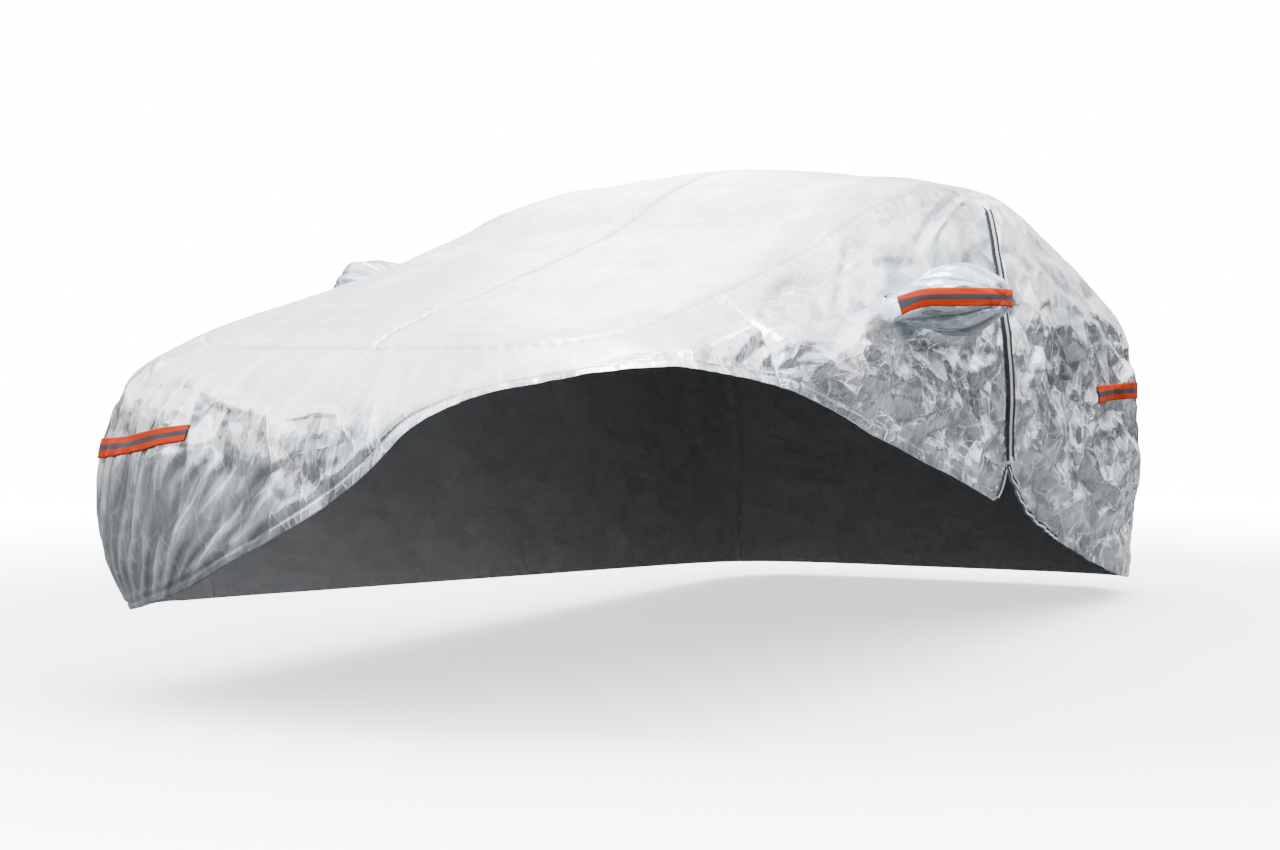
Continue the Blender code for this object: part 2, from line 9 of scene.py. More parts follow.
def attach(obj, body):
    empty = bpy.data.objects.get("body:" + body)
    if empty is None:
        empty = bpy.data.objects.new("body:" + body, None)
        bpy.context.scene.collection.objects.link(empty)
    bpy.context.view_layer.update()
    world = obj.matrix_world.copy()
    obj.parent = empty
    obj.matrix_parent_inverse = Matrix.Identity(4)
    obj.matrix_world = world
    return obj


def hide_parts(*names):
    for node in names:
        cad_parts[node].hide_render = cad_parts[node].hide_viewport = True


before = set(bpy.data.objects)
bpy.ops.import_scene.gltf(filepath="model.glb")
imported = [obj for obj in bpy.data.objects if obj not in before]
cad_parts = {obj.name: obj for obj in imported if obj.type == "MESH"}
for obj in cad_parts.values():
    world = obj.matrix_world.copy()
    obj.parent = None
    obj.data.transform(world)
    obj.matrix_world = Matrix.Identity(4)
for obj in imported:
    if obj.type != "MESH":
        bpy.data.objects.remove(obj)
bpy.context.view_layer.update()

# ---------------------------------------------------------------------------
# Top halves
# Two long halves of silver laminate, backed with a thin soft lining, lie over the bonnet, the
# windscreen and the roof. They are sewn together down the middle and hang from the roof.
# ---------------------------------------------------------------------------

# The drape. A place on the cover is its run along the outline, from the middle of the nose to
# the left, and its ring, down from the spine: 0 spine, 2 roof and bonnet edge, 5 hem.
ROOF_POINT = np.array((0.0, 0.70, 1.545))   # the frame's origin, with heights above the ground
PLAN_HALF_WIDTH = 0.90
PLAN_HALF_LENGTH = 2.25
PLAN_SQUARENESS = (5.0, 11.0)           # how square the outline is: 2 is round
HALF_WAY = 0.55             # ring 1, from the spine to the roof's edge
CROWN_FALL = 0.3            # how much of the way down the cloth is there
SPINE_FALL = 0.4            # how steeply the cloth leaves the spine
HEM_HALF_WIDTH = 0.90
HEM_HEIGHT = (0.24, 0.05)   # at the nose and at the tail
# How far each ring reaches ahead of the middle and behind it.
RING_REACH = ((1.70, 1.60), (1.87, 1.74), (2.08, 1.88), (2.25, 2.12), (2.28, 2.28), (2.18, 2.21))
STATIONS = (
    # y, crown, edge_x, edge_z, shoulder_x, shoulder_z, waist_x, waist_z
    (-2.27, 0.88, 0.73, 0.86, 0.89, 0.73, 0.91, 0.44),
    (-2.00, 0.97, 0.71, 0.94, 0.89, 0.80, 0.92, 0.47),
    (-1.60, 1.06, 0.67, 1.03, 0.88, 0.86, 0.92, 0.50),
    (-1.20, 1.16, 0.66, 1.12, 0.89, 0.91, 0.92, 0.52),
    (-0.80, 1.27, 0.66, 1.22, 0.90, 0.97, 0.93, 0.55),
    (-0.40, 1.42, 0.66, 1.34, 0.90, 1.01, 0.93, 0.55),
    (0.00, 1.52, 0.67, 1.42, 0.90, 1.03, 0.93, 0.55),
    (0.50, 1.55, 0.69, 1.44, 0.90, 1.05, 0.93, 0.55),
    (1.00, 1.55, 0.67, 1.44, 0.90, 1.07, 0.93, 0.55),
    (1.40, 1.49, 0.63, 1.36, 0.90, 1.05, 0.93, 0.55),
    (1.80, 1.33, 0.57, 1.19, 0.89, 1.00, 0.93, 0.54),
    (2.10, 1.10, 0.54, 0.99, 0.88, 0.90, 0.93, 0.52),
    (2.27, 0.95, 0.53, 0.88, 0.87, 0.82, 0.93, 0.50),
)
ZIP_RUN = 3.07
ZIP_LEAN = 0.50             # how far back the zip leans at the roof's edge
ZIP_LEAN_BELL = 0.60        # how far ahead and behind the cloth leans with it
# Ring, and its share of that lean.
ZIP_LEAN_ROWS = ((0.0, 0.00), (1.2, 0.80), (2.1, 1.00), (2.5, 0.52), (3.0, 0.08), (3.5, 0.00), (5.0, 0.00))
RING_STEP = 0.42            # metres of cloth from one ring to the next, below the roof's edge
FOLDS = (
    # run, ring, slope in degrees, half_length, half_width, height
    (-1.10, 3.80, 84.0, 0.34, 0.045, 0.014),
    (-0.95, 3.90, 88.0, 0.36, 0.050, -0.012),
    (-0.80, 4.00, 92.0, 0.34, 0.045, 0.015),
    (-0.64, 3.90, 95.0, 0.32, 0.050, -0.013),
    (-0.48, 3.70, 99.0, 0.30, 0.050, 0.014),
    (-0.31, 3.40, 104.0, 0.26, 0.050, -0.011),
    (-0.15, 3.20, 110.0, 0.22, 0.050, 0.010),
    (1.95, 2.95, 28.0, 0.30, 0.080, 0.010),
    (2.70, 3.40, -52.0, 0.36, 0.090, 0.013),
    (2.05, 3.30, 40.0, 0.28, 0.080, -0.010),
    (2.75, 2.35, 68.0, 0.26, 0.080, 0.014),
    (3.45, 3.30, 58.0, 0.40, 0.100, 0.014),
    (3.75, 4.10, -38.0, 0.40, 0.100, 0.012),
    (4.25, 3.30, 20.0, 0.36, 0.090, -0.012),
    (4.45, 4.20, 62.0, 0.36, 0.100, 0.013),
    (4.05, 2.70, -30.0, 0.34, 0.100, 0.011),
    (-1.90, 3.30, -35.0, 0.40, 0.100, 0.012),
    (-2.60, 3.90, 50.0, 0.40, 0.100, 0.013),
    (-3.30, 3.20, -48.0, 0.40, 0.110, 0.012),
    (-3.90, 4.00, 36.0, 0.40, 0.100, -0.012),
    (-4.50, 3.30, 60.0, 0.38, 0.100, 0.013),
    (5.50, 3.60, 75.0, 0.34, 0.090, 0.012),
    (-5.55, 3.70, 100.0, 0.34, 0.090, 0.012),
    (5.90, 4.20, 88.0, 0.30, 0.090, -0.012),
)


def bend(t, start, end, leave, arrive):
    """The two parts of a smooth curve at t, from its ends, and from how it leaves and arrives."""
    rise = (2 * t**3 - 3 * t**2 + 1) * start + (3 * t**2 - 2 * t**3) * end
    return rise, (t**3 - 2 * t**2 + t) * leave + (t**3 - t**2) * arrive


def through(table, x, number=1):
    """Smooth curve through one column of a table, read at x in its first column."""
    knots = np.array([row[0] for row in table], float)
    values = np.array([row[number] for row in table], float)
    x = np.clip(x, knots[0], knots[-1])
    i = np.clip(np.searchsorted(knots, x, side="right") - 1, 0, len(knots) - 2)
    slope = np.gradient(values, knots)
    width = knots[i + 1] - knots[i]
    rise, lean = bend((x - knots[i]) / width, values[i], values[i + 1], slope[i], slope[i + 1])
    return rise + lean * width


def bell(x, reach):
    """1 at 0, and falling away smoothly on both sides."""
    return np.exp(-((x / reach) ** 2))


def ease(x, start, end):
    """0 before start, 1 after end, smooth between."""
    t = np.clip((x - start) / (end - start), 0.0, 1.0)
    return t * t * (3 - 2 * t)


def window(x, start, full, waning, end):
    """0 before start, 1 from full to waning, 0 after end, smooth between."""
    return ease(x, start, full) * ease(-x, -end, -waning)


def turned(along, down, degrees):
    """Two distances turned through an angle."""
    turn = math.radians(degrees)
    return (along * math.cos(turn) - down * math.sin(turn), along * math.sin(turn) + down * math.cos(turn))


def unit(arrows):
    """Vectors brought to a length of 1, or left at 0."""
    return arrows / np.maximum(np.linalg.norm(arrows, axis=1, keepdims=True), 1e-9)


def outline():
    """The plan's run, and its across and along shares, all the way round from the nose."""
    turn = np.linspace(0.0, 2.0 * math.pi, 8001)
    across = np.sign(np.sin(turn)) * np.abs(np.sin(turn)) ** (2.0 / PLAN_SQUARENESS[0])
    along = -np.sign(np.cos(turn)) * np.abs(np.cos(turn)) ** (2.0 / PLAN_SQUARENESS[1])
    step = np.hypot(np.diff(across) * PLAN_HALF_WIDTH, np.diff(along) * PLAN_HALF_LENGTH)
    return np.concatenate([[0.0], np.cumsum(step)]), across, along


OUTLINE = outline()
PERIMETER = OUTLINE[0][-1]
TAIL = PERIMETER / 2.0


def car_shape(run, ring):
    """Points of the cover drawn smooth over the car, in the frame."""
    run = run + ZIP_LEAN * through(ZIP_LEAN_ROWS, ring) * bell(run - ZIP_RUN, ZIP_LEAN_BELL)
    run = np.mod(run, PERIMETER)
    across = np.interp(run, OUTLINE[0], OUTLINE[1])
    along = np.interp(run, OUTLINE[0], OUTLINE[2])
    y = [along * np.where(along < 0, ahead, behind) for ahead, behind in RING_REACH]
    at = [lambda place, n=n: through(STATIONS, place, n) for n in range(8)]
    hem = np.interp(y[5], (-RING_REACH[5][0], RING_REACH[5][1]), HEM_HEIGHT)
    half_way_z = at[1](y[1]) - CROWN_FALL * (at[1](y[1]) - at[3](y[1]))
    rings = np.array([
        (0.0 * across, y[0], at[1](y[0])),
        (across * HALF_WAY * at[2](y[1]), y[1], half_way_z),
        (across * at[2](y[2]), y[2], at[3](y[2])),
        (across * at[4](y[3]), y[3], at[5](y[3])),
        (across * at[6](y[4]), y[4], at[7](y[4])),
        (across * HEM_HALF_WIDTH, y[5], hem),
    ])
    slopes = np.gradient(rings, axis=0)
    slopes[0] = (rings[1] - rings[0]) * np.array([[1.0], [1.0], [SPINE_FALL]])
    i = np.clip(np.floor(ring).astype(int), 0, 4)
    one = np.arange(len(run))
    corners = [table[n, :, one].T for table in (rings, slopes) for n in (i, i + 1)]
    return sum(bend(ring - i, *corners)).T - ROOF_POINT


def outward(run, ring):
    """Unit normals of the car shape."""
    along = car_shape(run + 0.015, ring) - car_shape(run - 0.015, ring)
    down = car_shape(run, np.minimum(ring + 0.03, 5.0)) - car_shape(run, np.maximum(ring - 0.03, 0.02))
    normal = np.cross(down, along)
    size = np.linalg.norm(normal, axis=1, keepdims=True)
    normal = np.where(size > 1e-9, unit(normal), (0.0, 0.0, 1.0))
    return np.where((ring < 0.05)[:, None], unit(normal * (0.0, 1.0, 1.0)), normal)


def round_run(run):
    """A run counted from -TAIL to TAIL."""
    return np.mod(run + TAIL, PERIMETER) - TAIL


def fold_height(run, ring):
    """Height of the large soft folds."""
    height = np.zeros_like(run)
    for at_run, at_ring, slope, half_length, half_width, tall in FOLDS:
        away = round_run(run - at_run)
        down = (ring - at_ring) * RING_STEP
        along, across = turned(away, down, slope)
        height += tall * bell(along, half_length) * bell(across, half_width)
    return height


# The creases. Crushed laminate breaks into flat facets between straight creases, large ones
# with smaller ones on them, and is drawn smooth over the bonnet and the roof.
FACET_CORNERS = 61          # corners each way before the facets repeat
FACET_JITTER = 0.34         # of a facet, how far its corners stray


def facets(along, down, size, seed):
    """Heights from -1 to 1 of flat facets with straight creases between stray corners."""
    draw = np.random.default_rng(seed)
    stray = draw.uniform(-FACET_JITTER, FACET_JITTER, (2, FACET_CORNERS, FACET_CORNERS))
    tall = draw.uniform(-1.0, 1.0, (FACET_CORNERS, FACET_CORNERS))
    u, v = along / size, down / size
    col, row = np.floor(u).astype(int), np.floor(v).astype(int)
    height = np.zeros_like(u)
    free = np.ones(u.shape, bool)
    for right in (0, -1, 1):
        for lower in (0, -1, 1):
            corners = []
            for a, b in ((0, 0), (1, 0), (1, 1), (0, 1)):
                x, y = col + right + a, row + lower + b
                i, j = x % FACET_CORNERS, y % FACET_CORNERS
                corners.append((x + stray[0][i, j], y + stray[1][i, j], tall[i, j]))
            for three in ((0, 1, 2), (0, 2, 3)):
                (ax, ay, ah), (bx, by, bh), (cx, cy, ch) = (corners[n] for n in three)
                area = (bx - ax) * (cy - ay) - (cx - ax) * (by - ay)
                to_b = ((u - ax) * (cy - ay) - (cx - ax) * (v - ay)) / area
                to_c = ((bx - ax) * (v - ay) - (u - ax) * (by - ay)) / area
                inside = free & (to_b >= 0) & (to_c >= 0) & (to_b + to_c <= 1)
                height = np.where(inside, ah + to_b * (bh - ah) + to_c * (ch - ah), height)
                free &= ~inside
    return height


def waver(along, down, size, seed):
    """A slow random rise and fall, from -1 to 1."""
    values = np.random.default_rng(seed).uniform(-1.0, 1.0, (FACET_CORNERS, FACET_CORNERS))
    u, v = along / size, down / size
    col, row = np.floor(u).astype(int), np.floor(v).astype(int)
    s, t = u - col, v - row
    s, t = s * s * (3 - 2 * s), t * t * (3 - 2 * t)
    i, j, k, m = (n % FACET_CORNERS for n in (col, row, col + 1, row + 1))
    upper = values[i, j] * (1 - s) + values[k, j] * s
    lower = values[i, m] * (1 - s) + values[k, m] * s
    return upper * (1 - t) + lower * t


# The end of the smooth top: how far it strays, how often, and the rings over which crushing grows.
SMOOTH_END = (0.05, 0.09, -0.06, 0.16)
SMOOTH_TO = (
    # distance from the nose along the outline, ring where the smooth top ends
    (0.00, 2.80), (0.32, 2.71), (0.44, 2.51), (0.67, 2.38), (1.05, 2.43), (1.31, 2.45),
    (1.46, 2.28), (1.80, 2.08), (2.40, 1.85), (3.00, 1.80), (4.00, 1.90), (5.00, 2.00), (5.90, 2.10),
)
SIDE_FACETS = (
    # size, height, turn in degrees, seed
    (0.170, 0.0260, 20.0, 11),
    (0.080, 0.0180, 55.0, 21),
    (0.038, 0.0048, 8.0, 31),
    (0.020, 0.0012, 40.0, 41),
)
SIDE_STRETCH = 0.58         # facets on the long sides are that much longer than tall
TOP_FACETS = (
    # size, height, how much longer than wide, turn in degrees, seed
    (0.100, 0.0016, 4.0, 0.0, 51),
    (0.045, 0.0007, 3.5, 8.0, 61),
    (0.030, 0.0005, 1.0, 30.0, 71),
)
WINDSCREEN_WRINKLES = (
    # x, y, slope in degrees, half_length, half_width, height, in the frame
    (-0.52, -1.62, 62.0, 0.17, 0.016, 0.0050),
    (-0.46, -1.64, 56.0, 0.19, 0.015, -0.0045),
    (-0.40, -1.66, 52.0, 0.20, 0.016, 0.0050),
    (-0.33, -1.66, 46.0, 0.18, 0.015, -0.0040),
    (-0.27, -1.69, 42.0, 0.17, 0.016, 0.0042),
    (-0.58, -1.58, 68.0, 0.15, 0.016, -0.0045),
    (-0.64, -1.55, 72.0, 0.14, 0.016, 0.0045),
    (0.42, -1.60, -55.0, 0.16, 0.018, 0.0030),
    (0.34, -1.64, -48.0, 0.16, 0.018, -0.0030),
)
MOUTHS = {
    # side: (run_from, run_to), (ring_from, ring_to) of the hole in the door's cloth
    1.0: ((2.15, 2.50), (2.70, 2.94)),
    -1.0: ((2.24, 2.59), (2.52, 2.76)),
}
GATHER_POINT = (-0.92, 6.90)            # run and ring that the hanging pleats draw to
GATHER_REACH = 1.15         # metres from that point at which pleats have the widths given here
PLEAT_WIDTH = 0.046
PLEAT_HEIGHT = 0.0045
PLEAT_SHADE = -0.55         # cloth that hangs in pleats is in its own shade
PLEATED_RINGS = (3.20, 3.48)            # where pleats begin, and hang fully
PLEATED_RUNS = (-1.55, -1.30, -0.25, 0.0)   # where they begin, are full, wane and end
PLEATS = (
    # size across, height, seed: smaller creases on the pleats
    (0.046, 0.0060, 81),
    (0.022, 0.0030, 91),
)
NOSE_CALM = 0.60            # how much less the nose's right half is crushed
NOSE_CALM_RUNS = (-1.75, -1.40, -0.50, -0.15)
FACETS_LEFT = (0.20, 0.15)              # how much of the facets stays under pleats, and under streaks
STREAKY_RINGS = (2.5, 2.8)
STREAKY_RUNS = (-0.55, -0.20, 0.55, 0.85)
STREAK_SHADE = 1.6          # how much more strongly streaks are shaded
NOSE_STREAKS = (
    # size across, height, seed: upright creases left of the nose's middle
    (0.050, 0.0075, 141),
    (0.022, 0.0032, 151),
)
SHOULDER_LINE = (
    # run, ring of the break where the cloth leaves the car's shoulder and hangs
    (0.80, 2.25), (1.04, 2.53), (1.27, 2.69), (1.54, 2.82), (1.82, 2.93), (2.18, 3.02), (2.90, 3.08),
    (3.55, 3.06), (3.98, 3.06), (4.54, 2.98), (5.10, 2.90),
)
SHADE_DEPTH = (0.030, 0.0085)           # heights of creases and of pleats at which their shade is full
UPPER_CALM = 0.40           # how much less the cloth is crushed above the left shoulder
SHOULDER_RISE = (0.0120, 0.085)         # how far the break stands out, and half how tall it is
SHOULDER_RUNS = (0.85, 1.30, 4.70, 5.10)    # where it begins, is full, wanes and ends
SHARP_CREASES = (
    # run_from, ring_from, run_to, ring_to, half width, height
    (2.95, 1.95, 2.52, 2.41, 0.030, -0.0120),
    (2.90, 2.05, 2.58, 2.44, 0.018, 0.0070),
    (2.18, 3.16, 2.46, 3.42, 0.034, 0.0120),
    (2.60, 3.53, 2.80, 3.73, 0.034, 0.0120),
    (3.24, 3.41, 3.46, 3.13, 0.032, -0.0120),
    (4.00, 3.84, 4.53, 3.75, 0.036, 0.0130),
    (3.20, 2.41, 4.14, 3.05, 0.045, 0.0090),
    (2.05, 2.30, 2.42, 2.52, 0.036, 0.0080),
    (1.85, 2.62, 2.15, 2.20, 0.034, -0.0080),
    (3.40, 3.95, 3.85, 4.30, 0.036, 0.0120),
    (4.20, 4.45, 4.75, 4.30, 0.034, 0.0110),
    (1.50, 3.00, 1.95, 3.28, 0.034, 0.0100),
)
BESIDE_ZIP = (0.110, 0.050)             # how far the zip holds the cloth flat, ahead of it and behind
BESIDE_SEAM = 0.022         # how far a corner seam does
BESIDE_MOUTH = 0.045        # how far the seam round a pocket's mouth does
SKIRT_RING = 1.9            # the corner seams run down from this ring
FRONT_SEAM = 1.35
REAR_SEAM = 5.00
SEAM_DEPTH = 0.0034
SEAM_HALF_WIDTH = 0.007
PUCKERS = (0.45, 0.046, 0.035)          # height over the seam's depth, pitch, reach to each side
ZIP_FOLD = (0.0180, 0.018, 0.085)       # the fold under the zip: height, half of its turn, length behind


def crumpled(run, ring):
    """How crushed the cloth is at a place, from 0 on the smooth top to 1 on the sides."""
    run = round_run(run)
    stray, size, start, full = SMOOTH_END
    past = ring - through(SMOOTH_TO, np.abs(run)) + stray * waver(run, ring, size, 3)
    return ease(past, start, full)


def upper_calm(run, ring):
    """What is left of the crushing, less above the left shoulder."""
    return 1.0 - UPPER_CALM * ease(-ring, -3.12, -2.80) * ease(run, 1.2, 1.8)


def seam(away, along):
    """A sewn seam: a groove, and puckers that run off it."""
    share, pitch, reach = PUCKERS
    beat = np.sin(2 * math.pi * along / pitch + 2.5 * waver(along, 0 * along, 0.15, 5))
    return SEAM_DEPTH * (share * bell(away, reach) * beat - bell(away, SEAM_HALF_WIDTH))


def hanging_at(run, ring):
    """1 at the lower right of the nose, where the cloth hangs in pleats, and 0 elsewhere."""
    return ease(ring, *PLEATED_RINGS) * window(run, *PLEATED_RUNS)


def sharp_creases(run, down):
    """Heights of the long straight creases, each a sharp fold that fades at its ends."""
    height = np.zeros_like(run)
    for run_from, ring_from, run_to, ring_to, half_width, tall in SHARP_CREASES:
        long, fall = run_to - run_from, (ring_to - ring_from) * RING_STEP
        length = math.hypot(long, fall)
        away, below = run - run_from, down - ring_from * RING_STEP
        at = (away * long + below * fall) / length**2
        beside = np.abs(away * fall - below * long) / length
        height += tall * window(at, -0.2, 0.15, 0.85, 1.2) * np.maximum(1.0 - beside / half_width, 0.0)
    return height


def calm(run, ring):
    """1 in open cloth, and near 0 where seams, zip and the pockets' mouths hold it flat."""
    held = 1.0 - 0.85 * bell(run - ZIP_RUN, np.where(run < ZIP_RUN, *BESIDE_ZIP))
    for place in (FRONT_SEAM, REAR_SEAM):
        held *= 1.0 - np.where(ring > SKIRT_RING, bell(np.abs(run) - place, BESIDE_SEAM), 0.0)
    for side, (runs, rings) in MOUTHS.items():
        beside = np.maximum(np.abs(run * side - sum(runs) / 2) - (runs[1] - runs[0]) / 2, 0.0)
        below = np.maximum(np.abs(ring - sum(rings) / 2) - (rings[1] - rings[0]) / 2, 0.0)
        held *= 1.0 - bell(np.hypot(beside, below * RING_STEP), BESIDE_MOUTH)
    return held


def side_height(run, ring, down):
    """Height of the facets on the crushed sides."""
    swing = 0.0025 * waver(run, down, 0.06, 7)
    height = np.zeros_like(run)
    for size, tall, turn, seed in SIDE_FACETS:
        stretched = np.where(np.abs(run) < FRONT_SEAM, 1.0, SIDE_STRETCH) * (run - np.sign(run) * FRONT_SEAM)
        height += tall * facets(*turned(stretched + swing, down - swing, turn), size, seed)
    height *= 0.78 + 0.40 * waver(run, down, 0.35, 8)
    height *= 1.0 - NOSE_CALM * window(run, *NOSE_CALM_RUNS)
    return height * upper_calm(run, ring)


def top_height(x, y):
    """Height of the faint fold marks on the smooth top, and of its wrinkles by the windscreen."""
    height = np.zeros_like(x)
    for size, tall, longer, turn, seed in TOP_FACETS:
        across, lengthwise = turned(x, y, turn)
        height += tall * facets(across / longer, lengthwise, size, seed)
    for at_x, at_y, slope, half_length, half_width, tall in WINDSCREEN_WRINKLES:
        lengthwise, across = turned(x - at_x, y - at_y, -slope)
        height += tall * bell(lengthwise, half_length) * bell(across, half_width)
    return height


def pleat_height(run, ring):
    """Height of the pleats that fan out from the gathered corner of the nose."""
    away, above = run - GATHER_POINT[0], (GATHER_POINT[1] - ring) * RING_STEP
    fan, up = GATHER_REACH * np.arctan2(away, above), np.hypot(away, above)
    beat = np.sin(2 * math.pi * fan / PLEAT_WIDTH + 2.6 * waver(fan, up * 0.35, 0.13, 6))
    height = PLEAT_HEIGHT * beat * (0.70 + 0.6 * waver(fan, up * 0.4, 0.07, 4))
    for size, tall, seed in PLEATS:
        height += tall * facets(fan, up * 0.16, size, seed)
    return height


def streak_height(run, down):
    """Height of the upright creases left of the nose's middle."""
    height = np.zeros_like(run)
    for size, tall, seed in NOSE_STREAKS:
        height += tall * facets(run + 0.3 * (down - 3.0 * RING_STEP), down * 0.30, size, seed)
    return height


def shoulder_height(run, ring):
    """Height of the break along the left shoulder."""
    tall, half = SHOULDER_RISE
    off = np.abs(ring - through(SHOULDER_LINE, run) + 0.04 * waver(run, 0 * run, 0.2, 9)) * RING_STEP
    return tall * np.maximum(1.0 - off / half, 0.0) * window(run, *SHOULDER_RUNS)


def zip_fold_height(run, ring):
    """Height of the fold that the zip lies on, which turns the zip to face forward."""
    tall, turn, behind = ZIP_FOLD
    past = run - ZIP_RUN
    fold = tall * (0.5 + 0.5 * np.tanh(past / turn)) * bell(np.maximum(past, 0.0), behind)
    return fold * ease(ring, 2.02, 2.20)


def creases(base, run, ring):
    """Height of every crease, pleat and pucker above the main folds, and their painted shade.

    The painted shade is from -1 in the bottom of a crease, where it darkens the colour, to 1 on top of a
    fold, where it lightens it."""
    x, y = base[:, 0], base[:, 1]
    run = round_run(run)
    down = ring * RING_STEP
    crush = crumpled(run, ring)
    hanging = hanging_at(run, ring)
    pleated = pleat_height(run, ring)
    streaky = window(run, *STREAKY_RUNS) * ease(ring, *STREAKY_RINGS)
    streaks = streaky * (1.0 - hanging)
    side = side_height(run, ring, down)
    side *= (1.0 - (1.0 - FACETS_LEFT[0]) * hanging) * (1.0 - (1.0 - FACETS_LEFT[1]) * streaks)
    side += pleated * hanging + streak_height(run, down) * streaks
    side += shoulder_height(run, ring) + sharp_creases(run, down)
    height = (side * crush + top_height(x, y) * (1.0 - crush)) * calm(run, ring)
    # Painted shade: crease heights darken the laminate's colour in hollows and lighten it on ridges, streaks
    # more strongly, and hanging pleated cloth is painted darker all over.
    of_creases = side * (1.0 + STREAK_SHADE * streaky) / SHADE_DEPTH[0]
    of_pleats = pleated / SHADE_DEPTH[1] + PLEAT_SHADE
    shade = (of_creases * (1.0 - hanging) + of_pleats * hanging) * crush
    height += np.where(ring < 2.2, seam(x, y), 0.0) + seam((ring - 2.0) * RING_STEP, run)
    for place in (FRONT_SEAM, REAR_SEAM):
        height += np.where(ring > SKIRT_RING, seam(np.abs(run) - place, down), 0.0)
    return height + zip_fold_height(run, ring), np.clip(shade, -1.0, 1.0)


# The lower edges. The front and left panels are drawn up aslant, and each edge is turned in as
# a hem with an elastic that gathers it.
DRAWN_EDGE = (
    # run, ring
    (-1.20, 5.00), (-0.62, 4.86), (-0.44, 4.55), (-0.28, 4.19), (-0.12, 3.88), (0.00, 3.66),
    (0.12, 3.38), (0.23, 3.02), (0.36, 2.76), (0.55, 2.58), (0.70, 2.52), (0.87, 2.62),
    (1.08, 2.88), (1.39, 3.17), (1.68, 3.42), (2.19, 3.82), (2.62, 4.03), (2.88, 4.17),
    (2.96, 4.20), (3.00, 4.15), (3.04, 4.07), (3.07, 3.97),
)
REAR_LEFT_EDGE = (
    # run, ring
    (3.07, 3.95), (3.10, 4.02), (3.15, 4.13), (3.22, 4.25), (3.35, 4.38), (3.48, 4.47),
    (3.63, 4.56), (4.00, 4.74), (4.65, 4.96), (5.05, 5.00),
)
HEM = 0.034                 # how far the edge is turned in
HEM_STEP = (0.0018, 0.0022)             # the doubled cloth's rise, and the depth of the sewing above it
GATHERS = (0.021, 0.0060, 0.050)        # size, height, reach above the edge
TENSE_GATHERS = 0.0015      # their height where the edge is drawn up tight
TENSE_FOLD = (0.0040, 0.060, 0.016)     # above a drawn-up edge: height, place, half width
TENSE_RUNS = (-1.1, -0.7, 0.2, 0.7)


def drawn_edge(run):
    """Ring of the drawn-up edge of the front and left front panels."""
    return np.where(run < DRAWN_EDGE[0][0], 5.0, through(DRAWN_EDGE, run))


def rear_left_edge(run):
    """Ring of the left rear panel's lower edge."""
    return through(REAR_LEFT_EDGE, run)


def full_edge(run):
    """Ring of an edge that hangs all the way down."""
    return np.full_like(run, 5.0)


def edge_slope(run, edge):
    """How far a panel's lower edge falls for each metre of its run."""
    return (edge(run + 0.01) - edge(run - 0.01)) * RING_STEP / 0.02


def above_edge(run, ring, edge):
    """How far a place is from a panel's lower edge, square to the edge."""
    return (edge(run) - ring) * RING_STEP / np.sqrt(1.0 + edge_slope(run, edge) ** 2)


def hemmed(run, ring, edge):
    """Height of the hem: twice the cloth, a sewn groove above it, and gathers along it."""
    up = above_edge(run, ring, edge)
    size, gathered, reach = GATHERS
    height = np.zeros_like(run)
    if edge is drawn_edge:
        tall, place, half_width = TENSE_FOLD
        gathered = TENSE_GATHERS
        height += tall * bell(up - place, half_width) * window(run, *TENSE_RUNS)
    height += gathered * facets(run, up * 0.25, size, 101) * bell(up, reach)
    height += HEM_STEP[0] * (1.0 - ease(up, HEM - 0.006, HEM))
    return height - HEM_STEP[1] * bell(up - HEM, 0.005)


def on_cover(run, ring, edge=None, lift=0.0, shaded=False):
    """Points on the finished cloth, or lift above it, and the way out or the creases' painted shade."""
    run, ring = np.asarray(run, float), np.asarray(ring, float)
    base = car_shape(run, ring)
    out = outward(run, ring)
    height, shade = creases(base, run, ring)
    if edge is not None:
        near = 1.0 - 0.85 * bell(above_edge(run, ring, edge), 0.055)
        height = height * near + hemmed(run, ring, edge)
    return base + out * (fold_height(run, ring) + height + lift)[:, None], shade if shaded else out


# Finishes. The laminate is a film of bright metal; where it is crushed it creases finely, and
# over the top it only shows faint fold marks.
def wired(tree, made, sockets):
    """Fill a node's sockets. A value is a number, a colour, or another node's output."""
    for key, value in dict(sockets).items():
        if isinstance(value, bpy.types.NodeSocket):
            tree.links.new(value, made.inputs[key])
        else:
            made.inputs[key].default_value = value
    return made


def node(tree, kind, sockets=(), **settings):
    """Add a node, with its settings and its sockets' values."""
    made = tree.nodes.new(kind)
    for key, value in settings.items():
        setattr(made, key, value)
    return wired(tree, made, sockets)


def maths(tree, operation, a, b=0.0, c=0.0):
    """A number worked out from others."""
    return node(tree, "ShaderNodeMath", {0: a, 1: b, 2: c}, operation=operation).outputs[0]


def vectors(tree, operation, a, b=(0.0, 0.0, 0.0), scale=1.0):
    """A vector worked out from others."""
    return node(tree, "ShaderNodeVectorMath", {0: a, 1: b, 3: scale}, operation=operation).outputs[0]


def warped(tree, vector, scale, detail, reach):
    """A vector moved about by noise, so that what is drawn on it bends a little."""
    noise = node(tree, "ShaderNodeTexNoise", {"Vector": vector, "Scale": scale, "Detail": detail})
    return vectors(tree, "ADD", vector, vectors(tree, "SCALE", noise.outputs["Color"], scale=reach))


def ranged(tree, value, low, high, start=0.0, end=1.0, way="LINEAR"):
    """A number from low to high as value goes from start to end."""
    sockets = {"Value": value, "From Min": start, "From Max": end, "To Min": low, "To Max": high}
    return node(tree, "ShaderNodeMapRange", sockets, interpolation_type=way).outputs["Result"]


